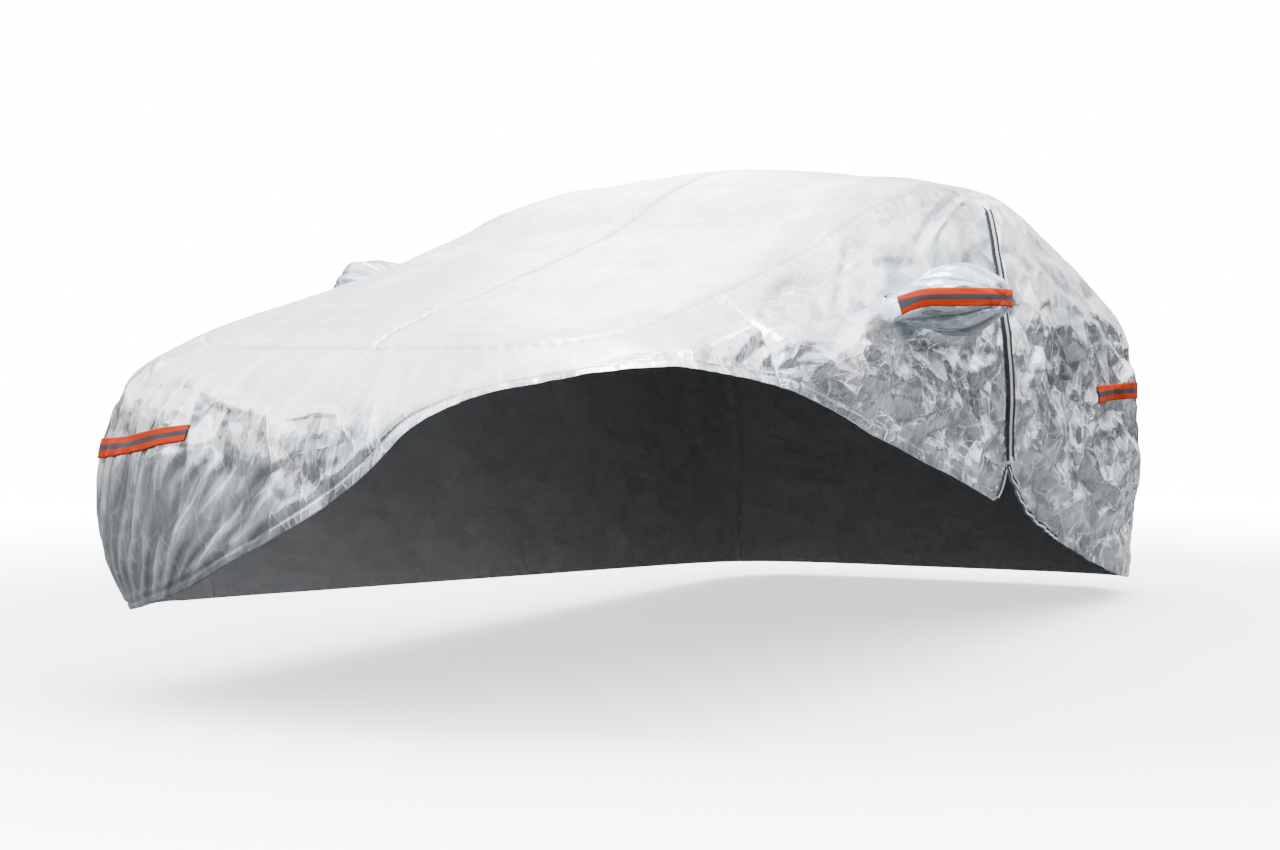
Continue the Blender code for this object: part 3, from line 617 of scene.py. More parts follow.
def group_of(name, inputs, outputs):
    """An empty node group with named number or vector inputs and number outputs."""
    group = bpy.data.node_groups.new(name, "ShaderNodeTree")
    for label, kind, value in inputs:
        made = group.interface.new_socket(label, in_out="INPUT", socket_type=kind)
        if value is not None:
            made.default_value = value
    for label in outputs:
        group.interface.new_socket(label, in_out="OUTPUT", socket_type="NodeSocketFloat")
    return group, group.nodes.new("NodeGroupInput"), group.nodes.new("NodeGroupOutput")


FOIL_CREASES, given, result = group_of(
    "foil_creases",
    [("Vector", "NodeSocketVector", None), ("Size", "NodeSocketFloat", 30.0)],
    ["Height", "Tone"])
bent = warped(FOIL_CREASES, given.outputs["Vector"], 14.0, 2.0, 0.035)
ridges, dents, tilts = [], [], []
for share, sharp in ((1.0, 0.09), (2.3, 0.12)):
    size = maths(FOIL_CREASES, "MULTIPLY", given.outputs["Size"], share)
    cells = node(FOIL_CREASES, "ShaderNodeTexVoronoi", {"Vector": bent, "Scale": size},
                 feature="DISTANCE_TO_EDGE")
    patch = node(FOIL_CREASES, "ShaderNodeTexVoronoi", {"Vector": bent, "Scale": size})
    tilt = node(FOIL_CREASES, "ShaderNodeTexNoise",
                {"Vector": patch.outputs["Position"], "Scale": 9.0 * share, "Detail": 0.0})
    ridges.append(ranged(FOIL_CREASES, cells.outputs["Distance"], 1.0, 0.0, 0.0, sharp, "SMOOTHSTEP"))
    dents.append(maths(FOIL_CREASES, "MULTIPLY", patch.outputs["Distance"], tilt.outputs["Fac"]))
    tilts.append(tilt.outputs["Fac"])
small_ridges = maths(FOIL_CREASES, "MULTIPLY", ridges[1], 0.35)
raised_lines = maths(FOIL_CREASES, "MULTIPLY_ADD", ridges[0], 0.6, small_ridges)
dented = maths(FOIL_CREASES, "MULTIPLY_ADD", dents[1], 0.5, dents[0])
wired(FOIL_CREASES, result, {"Height": maths(FOIL_CREASES, "ADD", raised_lines, dented),
                             "Tone": maths(FOIL_CREASES, "MULTIPLY", *tilts)})

FOIL_FACETS, given, result = group_of(
    "foil_facets",
    [("Vector", "NodeSocketVector", None), ("Normal", "NodeSocketVector", None),
     ("Size", "NodeSocketFloat", 20.0), ("Tilt", "NodeSocketFloat", 0.2)],
    ["Ridge", "Tone"])
FOIL_FACETS.interface.new_socket("Normal", in_out="OUTPUT", socket_type="NodeSocketVector")
bent = warped(FOIL_FACETS, given.outputs["Vector"], 9.0, 1.0, 0.016)
flats = node(FOIL_FACETS, "ShaderNodeTexVoronoi", {"Vector": bent, "Scale": given.outputs["Size"]})
edges = node(FOIL_FACETS, "ShaderNodeTexVoronoi", {"Vector": bent, "Scale": given.outputs["Size"]},
             feature="DISTANCE_TO_EDGE")
lean = vectors(FOIL_FACETS, "SUBTRACT", flats.outputs["Color"], (0.5, 0.5, 0.5))
lean = vectors(FOIL_FACETS, "SCALE", lean, scale=given.outputs["Tilt"])
lean = vectors(FOIL_FACETS, "ADD", given.outputs["Normal"], lean)
tone = node(FOIL_FACETS, "ShaderNodeSeparateColor", {0: flats.outputs["Color"]})
wired(FOIL_FACETS, result, {"Ridge": ranged(FOIL_FACETS, edges.outputs["Distance"], 1.0, 0.0, 0.0, 0.05),
                            "Tone": tone.outputs[2], "Normal": vectors(FOIL_FACETS, "NORMALIZE", lean)})

FIBRES, given, result = group_of(
    "fibres",
    [("Vector", "NodeSocketVector", None), ("Fineness", "NodeSocketFloat", 400.0)],
    ["Height", "Tone"])
fluff = node(FIBRES, "ShaderNodeTexNoise",
             {"Vector": given.outputs["Vector"], "Scale": given.outputs["Fineness"], "Detail": 3.0})
cloud = node(FIBRES, "ShaderNodeTexNoise", {"Vector": given.outputs["Vector"], "Scale": 7.0, "Detail": 3.0})
fine_tone = maths(FIBRES, "MULTIPLY", fluff.outputs["Fac"], 0.3)
tone = maths(FIBRES, "MULTIPLY_ADD", cloud.outputs["Fac"], 0.7, fine_tone)
wired(FIBRES, result, {"Height": fluff.outputs["Fac"], "Tone": tone})


def finish(name):
    """A new material, with its tree and its Principled shader."""
    made = bpy.data.materials.new(name)
    made.use_nodes = True
    return made, made.node_tree, made.node_tree.nodes["Principled BSDF"]


def place_group(tree, group, **sockets):
    """A node group in a material, with the values of its named sockets."""
    made = node(tree, "ShaderNodeGroup", node_tree=group)
    return wired(tree, made, sockets)


def blended(tree, share, a, b, way="MIX"):
    """Two colours, or other nodes' colours, mixed by share."""
    return node(tree, "ShaderNodeMix", {0: share, 6: a, 7: b}, data_type="RGBA", blend_type=way).outputs[2]


def mixed(tree, share, low, high):
    """Colours between low and high."""
    return blended(tree, share, (*low, 1.0), (*high, 1.0))


def raised(tree, shader, height, distance, strength):
    """Give a shader the fine relief of a height."""
    bump = node(tree, "ShaderNodeBump", {"Height": height, "Distance": distance, "Strength": strength})
    tree.links.new(bump.outputs["Normal"], shader.inputs["Normal"])


DARKEST_FACET_AND_SHADE = (0.40, 0.405, 0.41)        # the darkest tone of facets, and the painted shade of deep creases
FILM_METAL = 0.92           # the film is metal under a thin clear skin


def foil(name, dull, bright, size, tilt, drawn):
    """Laminate. Where it is crushed it turns and changes tone from facet to facet, and its colour carries
    painted shade in its creases and painted highlights along its crease lines.

    drawn says how much wider and taller than even its facets are, as 1 over each."""
    made, tree, shader = finish(name)
    place = node(tree, "ShaderNodeTexCoord").outputs["Object"]
    flat = node(tree, "ShaderNodeTexCoord").outputs["UV"]
    flat = vectors(tree, "MULTIPLY", flat, (*drawn, 1.0))
    crush = node(tree, "ShaderNodeAttribute", attribute_name="crumple").outputs["Fac"]
    # The painted shade of the creases, read from the cloth's points.
    painted_crease_shade = node(tree, "ShaderNodeAttribute", attribute_name="painted_crease_shade").outputs["Fac"]
    fine = place_group(tree, FOIL_CREASES, Vector=flat, Size=size)
    grain = place_group(tree, FIBRES, Vector=place, Fineness=120.0)
    facing = node(tree, "ShaderNodeNewGeometry").outputs["Normal"]
    large = place_group(tree, FOIL_FACETS, Vector=flat, Normal=facing, Size=size * 0.50,
                        Tilt=ranged(tree, crush, 0.02, tilt))
    small = place_group(tree, FOIL_FACETS, Vector=flat, Normal=large.outputs["Normal"], Size=size * 1.25,
                        Tilt=ranged(tree, crush, 0.01, tilt * 0.6))
    # The crease lines are painted into the colour as bright highlights, and also raise the bump.
    lines = maths(tree, "MULTIPLY_ADD", small.outputs["Ridge"], 0.6, large.outputs["Ridge"])
    facet = maths(tree, "MULTIPLY", large.outputs["Tone"], 0.25)
    facet = maths(tree, "MULTIPLY_ADD", small.outputs["Tone"], 0.25, facet)
    facet = maths(tree, "MULTIPLY_ADD", lines, 0.75, maths(tree, "SUBTRACT", facet, 0.50))
    # Painted shade and light: the crease shade darkens creases and lightens folds in the colour, on top of
    # the facets' random tone and the painted crease highlights.
    light = maths(tree, "MULTIPLY_ADD", facet, crush, ranged(tree, painted_crease_shade, 0.0, 1.0, -0.9, 0.2))
    tone = ranged(tree, fine.outputs["Tone"], 0.0, 1.0, 0.12, 0.42)
    shaded = mixed(tree, light, DARKEST_FACET_AND_SHADE, (1.0, 1.0, 1.0))
    film = blended(tree, 1.0, mixed(tree, tone, dull, bright), shaded, "MULTIPLY")
    rough = maths(tree, "ADD", ranged(tree, grain.outputs["Tone"], 0.15, 0.25, 0.3, 0.7),
                  ranged(tree, crush, 0.20, 0.0))
    deep = maths(tree, "MULTIPLY", fine.outputs["Height"], ranged(tree, crush, 0.10, 0.40))
    both = maths(tree, "ADD", deep, maths(tree, "MULTIPLY", grain.outputs["Height"], 0.10))
    both = maths(tree, "MULTIPLY_ADD", lines, maths(tree, "MULTIPLY", crush, 0.8), both)
    bump = node(tree, "ShaderNodeBump", {"Height": both, "Distance": 0.0006, "Strength": 0.9,
                                         "Normal": small.outputs["Normal"]})
    wired(tree, shader, {"Base Color": film, "Roughness": rough, "Metallic": FILM_METAL,
                         "Normal": bump.outputs["Normal"]})
    return made


def fibrous(name, fineness, dull, bright, rough, relief=None):
    """A material whose colour and roughness change with fine fibres, with its tree and shader.

    relief is how far the fibres stand out, and how strongly that shows."""
    made, tree, shader = finish(name)
    place = node(tree, "ShaderNodeTexCoord").outputs["Object"]
    fibres = place_group(tree, FIBRES, Vector=place, Fineness=fineness)
    wired(tree, shader, {"Base Color": mixed(tree, fibres.outputs["Tone"], dull, bright),
                         "Roughness": ranged(tree, fibres.outputs["Tone"], *rough)})
    if relief is not None:
        raised(tree, shader, fibres.outputs["Height"], *relief)
    return made, tree, shader


FOIL = foil("silver_laminate", (0.72, 0.745, 0.775), (0.93, 0.955, 0.99), 24.0, 0.34, (0.50, 0.95))
NOSE_FOIL = foil("nose_laminate", (0.72, 0.735, 0.755), (0.93, 0.95, 0.975), 26.0, 0.32, (1.20, 0.30))
LINING, tree, shader = fibrous(
    "lining_fleece", 420.0, (0.44, 0.44, 0.45), (0.62, 0.62, 0.63), (0.85, 1.0), (0.001, 0.6))
shader.inputs["Sheen Weight"].default_value = 0.25
CLOTH = 0.0020              # thickness of the cloth


def placed(name, data):
    """A new object in the scene."""
    made = bpy.data.objects.new(name, data)
    bpy.context.scene.collection.objects.link(made)
    return made


def shaped(name, shape, look, corner=None):
    """A finished piece from its bmesh, smooth but for corners of more than corner degrees."""
    mesh = bpy.data.meshes.new(name)
    shape.to_mesh(mesh)
    shape.free()
    mesh.shade_smooth()
    if corner is not None:
        mesh.set_sharp_from_angle(angle=math.radians(corner))
    mesh.materials.append(look)
    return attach(placed(name, mesh), "root")


def sewn_cloth(name, surface, segments, look, thick, hole=None, under=None):
    """A sheet of cloth: a flat grid laid on a surface and given its thickness inwards.

    surface takes places across and down, from 0 to 1, and gives points, how crushed the cloth is
    and the painted shade of its creases at each, and places on the flat cloth in metres."""
    sheet = bmesh.new()
    bmesh.ops.create_grid(sheet, x_segments=segments[0], y_segments=segments[1], size=0.5)
    if hole is not None:
        centres = np.array([face.calc_center_median() for face in sheet.faces])
        gone = hole(centres[:, 0] + 0.5, 0.5 - centres[:, 1])
        faces = [face for face, away in zip(sheet.faces, gone) if away]
        bmesh.ops.delete(sheet, geom=faces, context="FACES")
    mesh = bpy.data.meshes.new(name)
    sheet.to_mesh(mesh)
    sheet.free()
    flat = np.zeros(len(mesh.vertices) * 3)
    mesh.vertices.foreach_get("co", flat)
    flat = flat.reshape(-1, 3)
    points, crush, painted_crease_shade, cut = surface(flat[:, 0] + 0.5, 0.5 - flat[:, 1])
    mesh.vertices.foreach_set("co", points.ravel())
    mesh.attributes.new("crumple", "FLOAT", "POINT").data.foreach_set("value", crush)
    # The painted shade of the creases, which darkens and lightens the laminate's colour.
    mesh.attributes.new("painted_crease_shade", "FLOAT", "POINT").data.foreach_set("value", painted_crease_shade)
    corners = np.zeros(len(mesh.loops), int)
    mesh.loops.foreach_get("vertex_index", corners)
    mesh.uv_layers.new(name="cut").data.foreach_set("uv", cut[corners].ravel())
    sheet = bmesh.new()
    sheet.from_mesh(mesh)
    bmesh.ops.remove_doubles(sheet, verts=sheet.verts, dist=0.0004)
    sheet.to_mesh(mesh)
    sheet.free()
    mesh.shade_smooth()
    mesh.materials.append(look)
    if under is not None:
        mesh.materials.append(under)
    piece = placed(name, mesh)
    wall = piece.modifiers.new("cloth_thickness", "SOLIDIFY")
    wall.thickness = thick
    wall.offset = -1.0
    wall.material_offset = 0 if under is None else 1
    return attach(piece, "root")


LAP = 0.012                 # a panel that lies under another runs on under it by this much
LAP_DROP = 0.0034


def panel(name, runs, rings, cell, edge=None, laps=(0.0, 0.0), mouth=None, look=FOIL):
    """A panel of the cover, from one run to another, from its upper ring to its lower edge.

    laps says how far it runs on past its own start and end, under the next panels."""
    start, end = runs[0] - laps[0], runs[1] + laps[1]
    lowest = float(np.max(rings[1](np.linspace(*runs, 60))))
    segments = round((end - start) / cell), round((lowest - rings[0]) * RING_STEP / cell)

    def places(across, down):
        run = start + across * (end - start)
        return run, rings[0] + down * (rings[1](run) - rings[0])

    def surface(across, down):
        run, ring = places(across, down)
        past = np.maximum(runs[0] - run, run - runs[1])
        if edge is None:
            past = np.maximum(past, (ring - 2.0) * RING_STEP)
        under = -LAP_DROP * ease(past, -LAP / 2, LAP / 2)
        points, shade = on_cover(run, ring, edge, under, shaded=True)
        at = round_run(run)
        crush = crumpled(run, ring) * (1.0 - 0.6 * hanging_at(at, ring)) * upper_calm(at, ring)
        return points, crush, shade, np.stack([run, ring * RING_STEP], 1)

    def hole(across, down):
        run, ring = places(across, down)
        run = np.abs(run)
        return (run > mouth[0][0]) & (run < mouth[0][1]) & (ring > mouth[1][0]) & (ring < mouth[1][1])

    piece = sewn_cloth(name, surface, segments, look, CLOTH, hole if mouth else None, LINING)
    return piece


TOP_CELL = 0.0140


def lapped_edge(run):
    """The lower edge of a top half, which lies under the skirt."""
    return np.full_like(run, 2.0 + LAP / RING_STEP)


top_left = panel("top_left_cloth", (0.0, TAIL), (0.0, lapped_edge), TOP_CELL)
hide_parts("top_left")
top_right = panel("top_right_cloth", (-TAIL, 0.0), (0.0, lapped_edge), TOP_CELL)
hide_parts("top_right")

# ---------------------------------------------------------------------------
# Skirt
# Five panels of the same laminate, sewn to the top halves along the roof and bonnet edge and to
# each other at the corners. They hang crushed, and the two on the left part at the zip.
# ---------------------------------------------------------------------------
ZIP_HALF_GAP = 0.004
PANELS = (
    # name, run_from, run_to, lower edge, cell, laps, flat width, flat length, flat area
    ("front_skirt", -FRONT_SEAM, FRONT_SEAM, drawn_edge, 0.0088, (LAP, LAP), 1.35, 2.75, 1.45),
    ("side_left_front", FRONT_SEAM, ZIP_RUN - ZIP_HALF_GAP, drawn_edge, 0.0072, (0, 0), 0.95, 1.75, 1.10),
    ("side_left_rear", ZIP_RUN + ZIP_HALF_GAP, REAR_SEAM, rear_left_edge, 0.0086, (0, 0), 1.35, 2.00, 2.30),
    ("rear_skirt", REAR_SEAM, PERIMETER - REAR_SEAM, full_edge, 0.0130, (LAP, LAP), 1.35, 1.85, 2.30),
    ("side_right", -REAR_SEAM, -FRONT_SEAM, full_edge, 0.0138, (0, 0), 1.40, 3.75, 4.80),
)
MOUTH_OF = {"side_left_front": MOUTHS[1.0], "side_right": MOUTHS[-1.0]}
for name, run_from, run_to, edge, cell, laps, wide, long, area in PANELS:
    rings = (2.0, edge)
    look = NOSE_FOIL if name == "front_skirt" else FOIL
    mouth = MOUTH_OF.get(name)
    panel(name + "_cloth", (run_from, run_to), rings, cell, edge, laps, mouth, look)
    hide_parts(name)

# ---------------------------------------------------------------------------
# Mirror pockets
# A sleeve of the same laminate on each door, sewn round its mouth to the skirt. It is drawn
# over the door mirror, so it creases from the seam outwards and sags into folds underneath.
# ---------------------------------------------------------------------------
POCKET_LOOPS = (
    # x, centre_y, centre_z, half_y, half_z, heights above the ground
    (0.975, -0.635, 1.065, 0.170, 0.096),
    (1.060, -0.606, 1.068, 0.160, 0.092),
    (1.128, -0.586, 1.070, 0.100, 0.052),
)
POCKET_TIP_X = 1.144
MOUTH_SQUARE = 0.34         # how square the mouth is: 1 is round
POCKET_ALLOWANCE = 0.014    # seam allowance on the door's cloth, round the mouth
POCKET_SIDES = 150
POCKET_ROWS = 75
POCKET_FOLDS = (
    # turn round the sleeve, place along it, half turn wide, half length, height
    (-0.60, 2.6, 0.12, 1.3, 0.0070),
    (-1.10, 2.6, 0.11, 1.3, -0.0070),
    (-1.50, 2.8, 0.10, 1.4, 0.0075),
    (-1.82, 3.0, 0.10, 1.4, -0.0080),
    (-2.15, 3.0, 0.11, 1.5, 0.0090),
    (-2.48, 3.1, 0.09, 1.4, -0.0075),
    (-2.80, 3.0, 0.08, 1.3, 0.0050),
    (0.65, 2.8, 0.10, 1.2, 0.0070),
    (1.05, 2.6, 0.09, 1.2, -0.0065),
    (1.42, 3.0, 0.09, 1.3, 0.0065),
    (1.80, 2.8, 0.10, 1.3, -0.0075),
    (2.15, 3.1, 0.09, 1.4, 0.0070),
    (2.50, 3.0, 0.08, 1.3, -0.0060),
    (2.78, 2.6, 0.07, 1.0, 0.0040),
)
POCKET_FACETS = ((0.040, 0.0034, 121), (0.020, 0.0017, 131))
POCKET_SHADE = 0.0075       # height of its creases at which their shade is full


def sleeve(side, set_back, higher, turn, along):
    """Points of the smooth sleeve: turn is 0 at its rear, a quarter on top; along is 0 to 5."""
    (run_from, run_to), (ring_from, ring_to) = MOUTHS[side]
    across = np.sign(np.cos(turn)) * np.abs(np.cos(turn)) ** MOUTH_SQUARE
    above = np.sign(np.sin(turn)) * np.abs(np.sin(turn)) ** MOUTH_SQUARE
    rows = []
    for wider, lift in ((POCKET_ALLOWANCE, 0.0022), (0.0, 0.0040)):
        run = side * ((run_from + run_to) / 2 + across * ((run_to - run_from) / 2 + wider))
        ring = (ring_from + ring_to) / 2 - above * ((ring_to - ring_from) / 2 + wider / RING_STEP)
        rows.append(on_cover(run, ring, None, lift)[0])
    for x, centre_y, centre_z, half_y, half_z in POCKET_LOOPS:
        rows.append(np.stack([
            np.full_like(turn, side * x),
            centre_y + set_back + half_y * np.cos(turn),
            centre_z + higher + half_z * np.sin(turn)], 1) - ROOF_POINT)
    rows = np.array(rows)
    slopes = np.gradient(rows, axis=0)
    slopes[-1] = (rows[-1] - rows[-2]) * 0.8
    i = np.clip(np.floor(along).astype(int), 0, len(rows) - 2)
    one = np.arange(len(turn))
    corners = [table[n, one] for table in (rows, slopes) for n in (i, i + 1)]
    points = sum(bend(np.clip(along - i, 0.0, 1.0)[:, None], *corners))
    closing = np.clip(along - 4.0, 0.0, 1.0) * math.pi / 2
    last = POCKET_LOOPS[-1]
    centre = np.array((side * last[0], last[1] + set_back, last[2] + higher)) - ROOF_POINT
    tip = centre + (points - centre) * np.cos(closing)[:, None]
    tip[:, 0] = side * (last[0] + (POCKET_TIP_X - last[0]) * np.sin(closing))
    return np.where((along > 4.0)[:, None], tip, points)


def on_pocket(side, set_back, higher, turn, along, lift=0.0):
    """Points on the creased sleeve, or lift above it, and the painted shade of its creases."""
    turn, along = np.asarray(turn, float), np.asarray(along, float)
    place = sleeve(side, set_back, higher, turn, along)
    which = (side, set_back, higher)
    round_it = sleeve(*which, turn + 0.02, along) - sleeve(*which, turn - 0.02, along)
    further = np.minimum(along + 0.03, 4.97)
    out_it = sleeve(*which, turn, further) - sleeve(*which, turn, further - 0.06)
    normal = unit(np.cross(out_it, round_it) * side)
    x, y, z = POCKET_LOOPS[0][:3]
    away = place - (np.array((side * x, y + set_back, z + higher)) - ROOF_POINT)
    away[:, 0] = 0.0
    normal *= np.where(np.sum(normal * away, 1) < 0, -1.0, 1.0)[:, None]
    tip = np.clip(along - 4.0, 0.0, 1.0)[:, None]
    normal = normal * (1 - tip) + np.array((side, 0.0, 0.0)) * tip
    height = np.zeros_like(turn)
    for at_turn, at_place, half_turn, half_length, tall in POCKET_FOLDS:
        off = np.mod(turn - at_turn + math.pi, 2 * math.pi) - math.pi
        height += tall * bell(off, half_turn) * bell(along - at_place, half_length)
    upper = ease(np.sin(turn), -0.25, 0.35)
    wrap = np.abs(np.mod(turn, 2 * math.pi) - math.pi)
    for size, tall, seed in POCKET_FACETS:
        height += tall * (0.35 + 0.65 * upper) * facets(wrap * 0.12, along * 0.045 + 0.3 * upper, size, seed)
    held = ease(along, 0.6, 1.7) * (1.0 - 0.6 * ease(along, 4.2, 5.0))
    flat_front = 1.0 - 0.75 * bell(np.sin(turn), 0.30)
    height *= held * flat_front
    # The sleeve's folds also give a painted shade, darker in their hollows and lighter on their tops.
    return place + normal * (height + lift)[:, None], np.clip(height / POCKET_SHADE, -1.0, 1.0)


POCKET_FOIL = foil("pocket_laminate", (0.62, 0.68, 0.76), (0.86, 0.91, 0.99), 44.0, 0.26, (1.0, 0.45))
POCKETS = (
    # name, side, how much further back and higher than the left one, the cloth it is sewn to
    ("mirror_pocket_left", 1.0, 0.0, 0.0, "side_left_front"),
    ("mirror_pocket_right", -1.0, 0.09, 0.06, "side_right"),
)
for name, side, set_back, higher, door in POCKETS:

    def surface(across, down):
        turn = 2 * math.pi * across * side
        along = 5.0 * (1.0 - down)
        cut = np.stack([across * 0.50, down * 0.30], 1)
        points, shade = on_pocket(side, set_back, higher, turn, along)
        return points, np.ones_like(across), shade, cut

    cells = (POCKET_SIDES, POCKET_ROWS)
    piece = sewn_cloth(name + "_cloth", surface, cells, POCKET_FOIL, CLOTH, None, LINING)
    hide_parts(name)

# ---------------------------------------------------------------------------
# Reflective strips
# Fluorescent orange woven tape with a grey reflective stripe down its middle, sewn on flat at
# the front right corner, over the left mirror pocket and at the rear left corner.
# ---------------------------------------------------------------------------
STRIP_THICK = 0.0010
STRIP_LIFT = 0.0032         # a strip's underside, above the cloth
STRIP_CELL = 0.0045
STRIPS = (
    # name, run_from, ring_from, run_to, ring_to, half height
    ("strip_front_right", -1.00, 3.50, -0.436, 3.11, 0.0326),
    ("strip_rear_left", 4.17, 3.56, 4.92, 3.48, 0.0245),
)
STRIPE_SHARE = 0.15         # half of the stripe's width over the strip's

WEAVE, given, result = group_of(
    "tape_weave",
    [("Vector", "NodeSocketVector", None), ("Threads", "NodeSocketFloat", 900.0)],
    ["Height"])
parts = node(WEAVE, "ShaderNodeSeparateXYZ", {"Vector": given.outputs["Vector"]})
waves = [maths(WEAVE, "SINE", maths(WEAVE, "MULTIPLY", parts.outputs[axis], given.outputs["Threads"]))
         for axis in ("X", "Y")]
WEAVE.links.new(maths(WEAVE, "MULTIPLY", *waves), result.inputs["Height"])


def woven(tree, shader, threads, distance, strength):
    """Give a shader the relief of woven threads."""
    place = node(tree, "ShaderNodeTexCoord").outputs["Object"]
    weave = place_group(tree, WEAVE, Vector=place, Threads=threads)
    raised(tree, shader, weave.outputs["Height"], distance, strength)


REFLECTIVE, tree, shader = finish("reflective_tape")
cut = node(tree, "ShaderNodeUVMap", uv_map="cut").outputs["UV"]
down = node(tree, "ShaderNodeSeparateXYZ", {"Vector": cut}).outputs["Y"]
off_middle = maths(tree, "ABSOLUTE", maths(tree, "SUBTRACT", down, 0.5))
stripe = ranged(tree, off_middle, 1.0, 0.0, STRIPE_SHARE - 0.006, STRIPE_SHARE + 0.006)
place = node(tree, "ShaderNodeTexCoord").outputs["Object"]
soil = place_group(tree, FIBRES, Vector=place, Fineness=260.0).outputs["Tone"]
orange = mixed(tree, soil, (0.38, 0.021, 0.0), (0.48, 0.032, 0.0005))
grey = mixed(tree, soil, (0.040, 0.029, 0.033), (0.065, 0.048, 0.055))
wired(tree, shader, {"Base Color": blended(tree, stripe, orange, grey), "Specular IOR Level": 0.15,
                     "Roughness": ranged(tree, stripe, 0.80, 0.50)})
woven(tree, shader, 2600.0, 0.0004, 0.5)

STITCH_LONG = 0.0060
STITCH_PITCH = 0.0100
STITCH_THICK = 0.0011


def reach_of(points):
    """How far along a line each of its points is."""
    return np.concatenate([[0.0], np.cumsum(np.linalg.norm(np.diff(points, axis=0), axis=1))])


def point_at(where, reach, points):
    """The point where metres along a line."""
    return Vector([np.interp(where, reach, points[:, k]) for k in range(3)])


def stitching(name, lines, look, pitch=STITCH_PITCH):
    """Stitches along lines of points, each a short thread lying on the cloth."""
    thread = bmesh.new()
    size = Matrix.Diagonal((STITCH_LONG / 2, STITCH_THICK / 2, STITCH_THICK / 2, 1.0))
    for points in lines:
        reach = reach_of(points)
        for at in np.arange(pitch / 2, reach[-1] - pitch / 2, pitch):
            back, front = (point_at(at + half, reach, points) for half in (-STITCH_LONG / 2, STITCH_LONG / 2))
            turn = (front - back).to_track_quat("X", "Z").to_matrix().to_4x4()
            bmesh.ops.create_icosphere(thread, subdivisions=1, radius=1.0,
                                       matrix=Matrix.Translation((front + back) / 2) @ turn @ size)
    return shaped(name, thread, look)


def thread_of(name, dull, bright):
    """Twisted sewing thread."""
    return fibrous(name, 900.0, dull, bright, (0.5, 0.8), (0.0002, 0.5))[0]


ORANGE_THREAD = thread_of("orange_thread", (0.30, 0.020, 0.002), (0.45, 0.035, 0.004))
GREY_THREAD = thread_of("grey_thread", (0.10, 0.10, 0.11), (0.20, 0.20, 0.21))
STITCH_INSET = 0.10         # of a strip's height, from its edge to its stitching


def sew_strip(name, place_on, cells):
    """One strip: its tape on places of the cloth under it, and a row of stitches near each edge."""
    lift = STRIP_LIFT + STRIP_THICK

    def surface(across, down):
        flat = np.zeros_like(across)
        return place_on(across, down, lift), flat, flat, np.stack([across, down], 1)

    piece = sewn_cloth(name + "_tape", surface, cells, REFLECTIVE, STRIP_THICK)
    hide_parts(name)
    share = np.linspace(0.01, 0.99, 160)
    lines = [place_on(share, np.full_like(share, edge), lift) for edge in (STITCH_INSET, 1.0 - STITCH_INSET)]
    sewing = stitching(name + "_stitches", lines, ORANGE_THREAD)


for name, run_from, ring_from, run_to, ring_to, half_height in STRIPS:

    def on_skirt(across, down, lift):
        run = run_from + across * (run_to - run_from)
        middle = ring_from + across * (ring_to - ring_from)
        return on_cover(run, middle + (down - 0.5) * 2 * half_height / RING_STEP, None, lift)[0]

    length = abs(run_to - run_from)
    cells = (round(length / STRIP_CELL), round(2 * half_height / STRIP_CELL))
    sew_strip(name, on_skirt, cells)

# The third strip runs from the door along the front of the left pocket and round its tip.
STRIP_RISE = 0.024          # half of its height
STRIP_START = 1.35          # place along the sleeve where it begins
STRIP_TURN = 0.82           # how much of the way round and back it runs
SLEEVE_HALF_HEIGHTS = [(1.0, 0.10)] + [(n + 2.0, loop[4]) for n, loop in enumerate(POCKET_LOOPS)]


def round_pocket(across, down, lift):
    """Places on the strip that runs from the door along the sleeve's front and round its tip."""
    level = (0.5 - down) * 2 * STRIP_RISE
    half_z = POCKET_LOOPS[-1][4]
    furthest = 4.0 + np.arccos(np.clip(np.abs(level) / half_z, 0.0, 0.999)) * 2 / math.pi
    arc = 2.0 * across * STRIP_TURN
    shape = np.where(arc < 1.0, arc, 2.0 - arc)
    along = STRIP_START + (furthest - STRIP_START) * (1.0 - (1.0 - shape) ** 2)
    half = through(SLEEVE_HALF_HEIGHTS, along)
    half = half * np.cos(np.clip(along - 4.0, 0.0, 1.0) * math.pi / 2)
    lean = np.arcsin(np.clip(level / np.maximum(half, 1e-6), -1.0, 1.0))
    turn = np.where(arc < 1.0, math.pi - lean, lean)
    return on_pocket(1.0, 0.0, 0.0, turn, along, lift)[0]


sew_strip("strip_mirror_left", round_pocket, (120, 12))

# ---------------------------------------------------------------------------
# Zip
# A black tape zip with chunky pale teeth parts the two left panels. It is closed from the roof
# edge down to its slider, and below that its halves follow the edges of the drawn-up cloth.
# ---------------------------------------------------------------------------
TAPE_THICK = 0.0010
TAPE_LIFT = 0.0030          # the tape's underside, above the cloth
ZIP_RINGS = (2.17, 3.93)    # where the closed part ends: under the roof edge, and at the slider
ZIP_HALF_WIDTH = 0.0175
OPEN_TAPE = 0.015           # width of each half of the tape below the slider
TOOTH_PITCH = 0.0080
TOOTH_BEVEL = 0.0005
TOOTH_SIZE = (0.0068, 0.0050, 0.0030)   # across, along, tall
CORNER = 40.0               # degrees, the gentlest corner that stays sharp

TAPE, tree, shader = fibrous(
    "zip_tape", 300.0, (0.006, 0.006, 0.007), (0.018, 0.018, 0.020), (0.6, 0.9))
shader.inputs["Specular IOR Level"].default_value = 0.15
woven(tree, shader, 3200.0, 0.0003, 0.6)
TEETH, tree, shader = fibrous(
    "zip_teeth", 700.0, (0.42, 0.42, 0.43), (0.72, 0.72, 0.73), (0.28, 0.45))
shader.inputs["Metallic"].default_value = 0.35


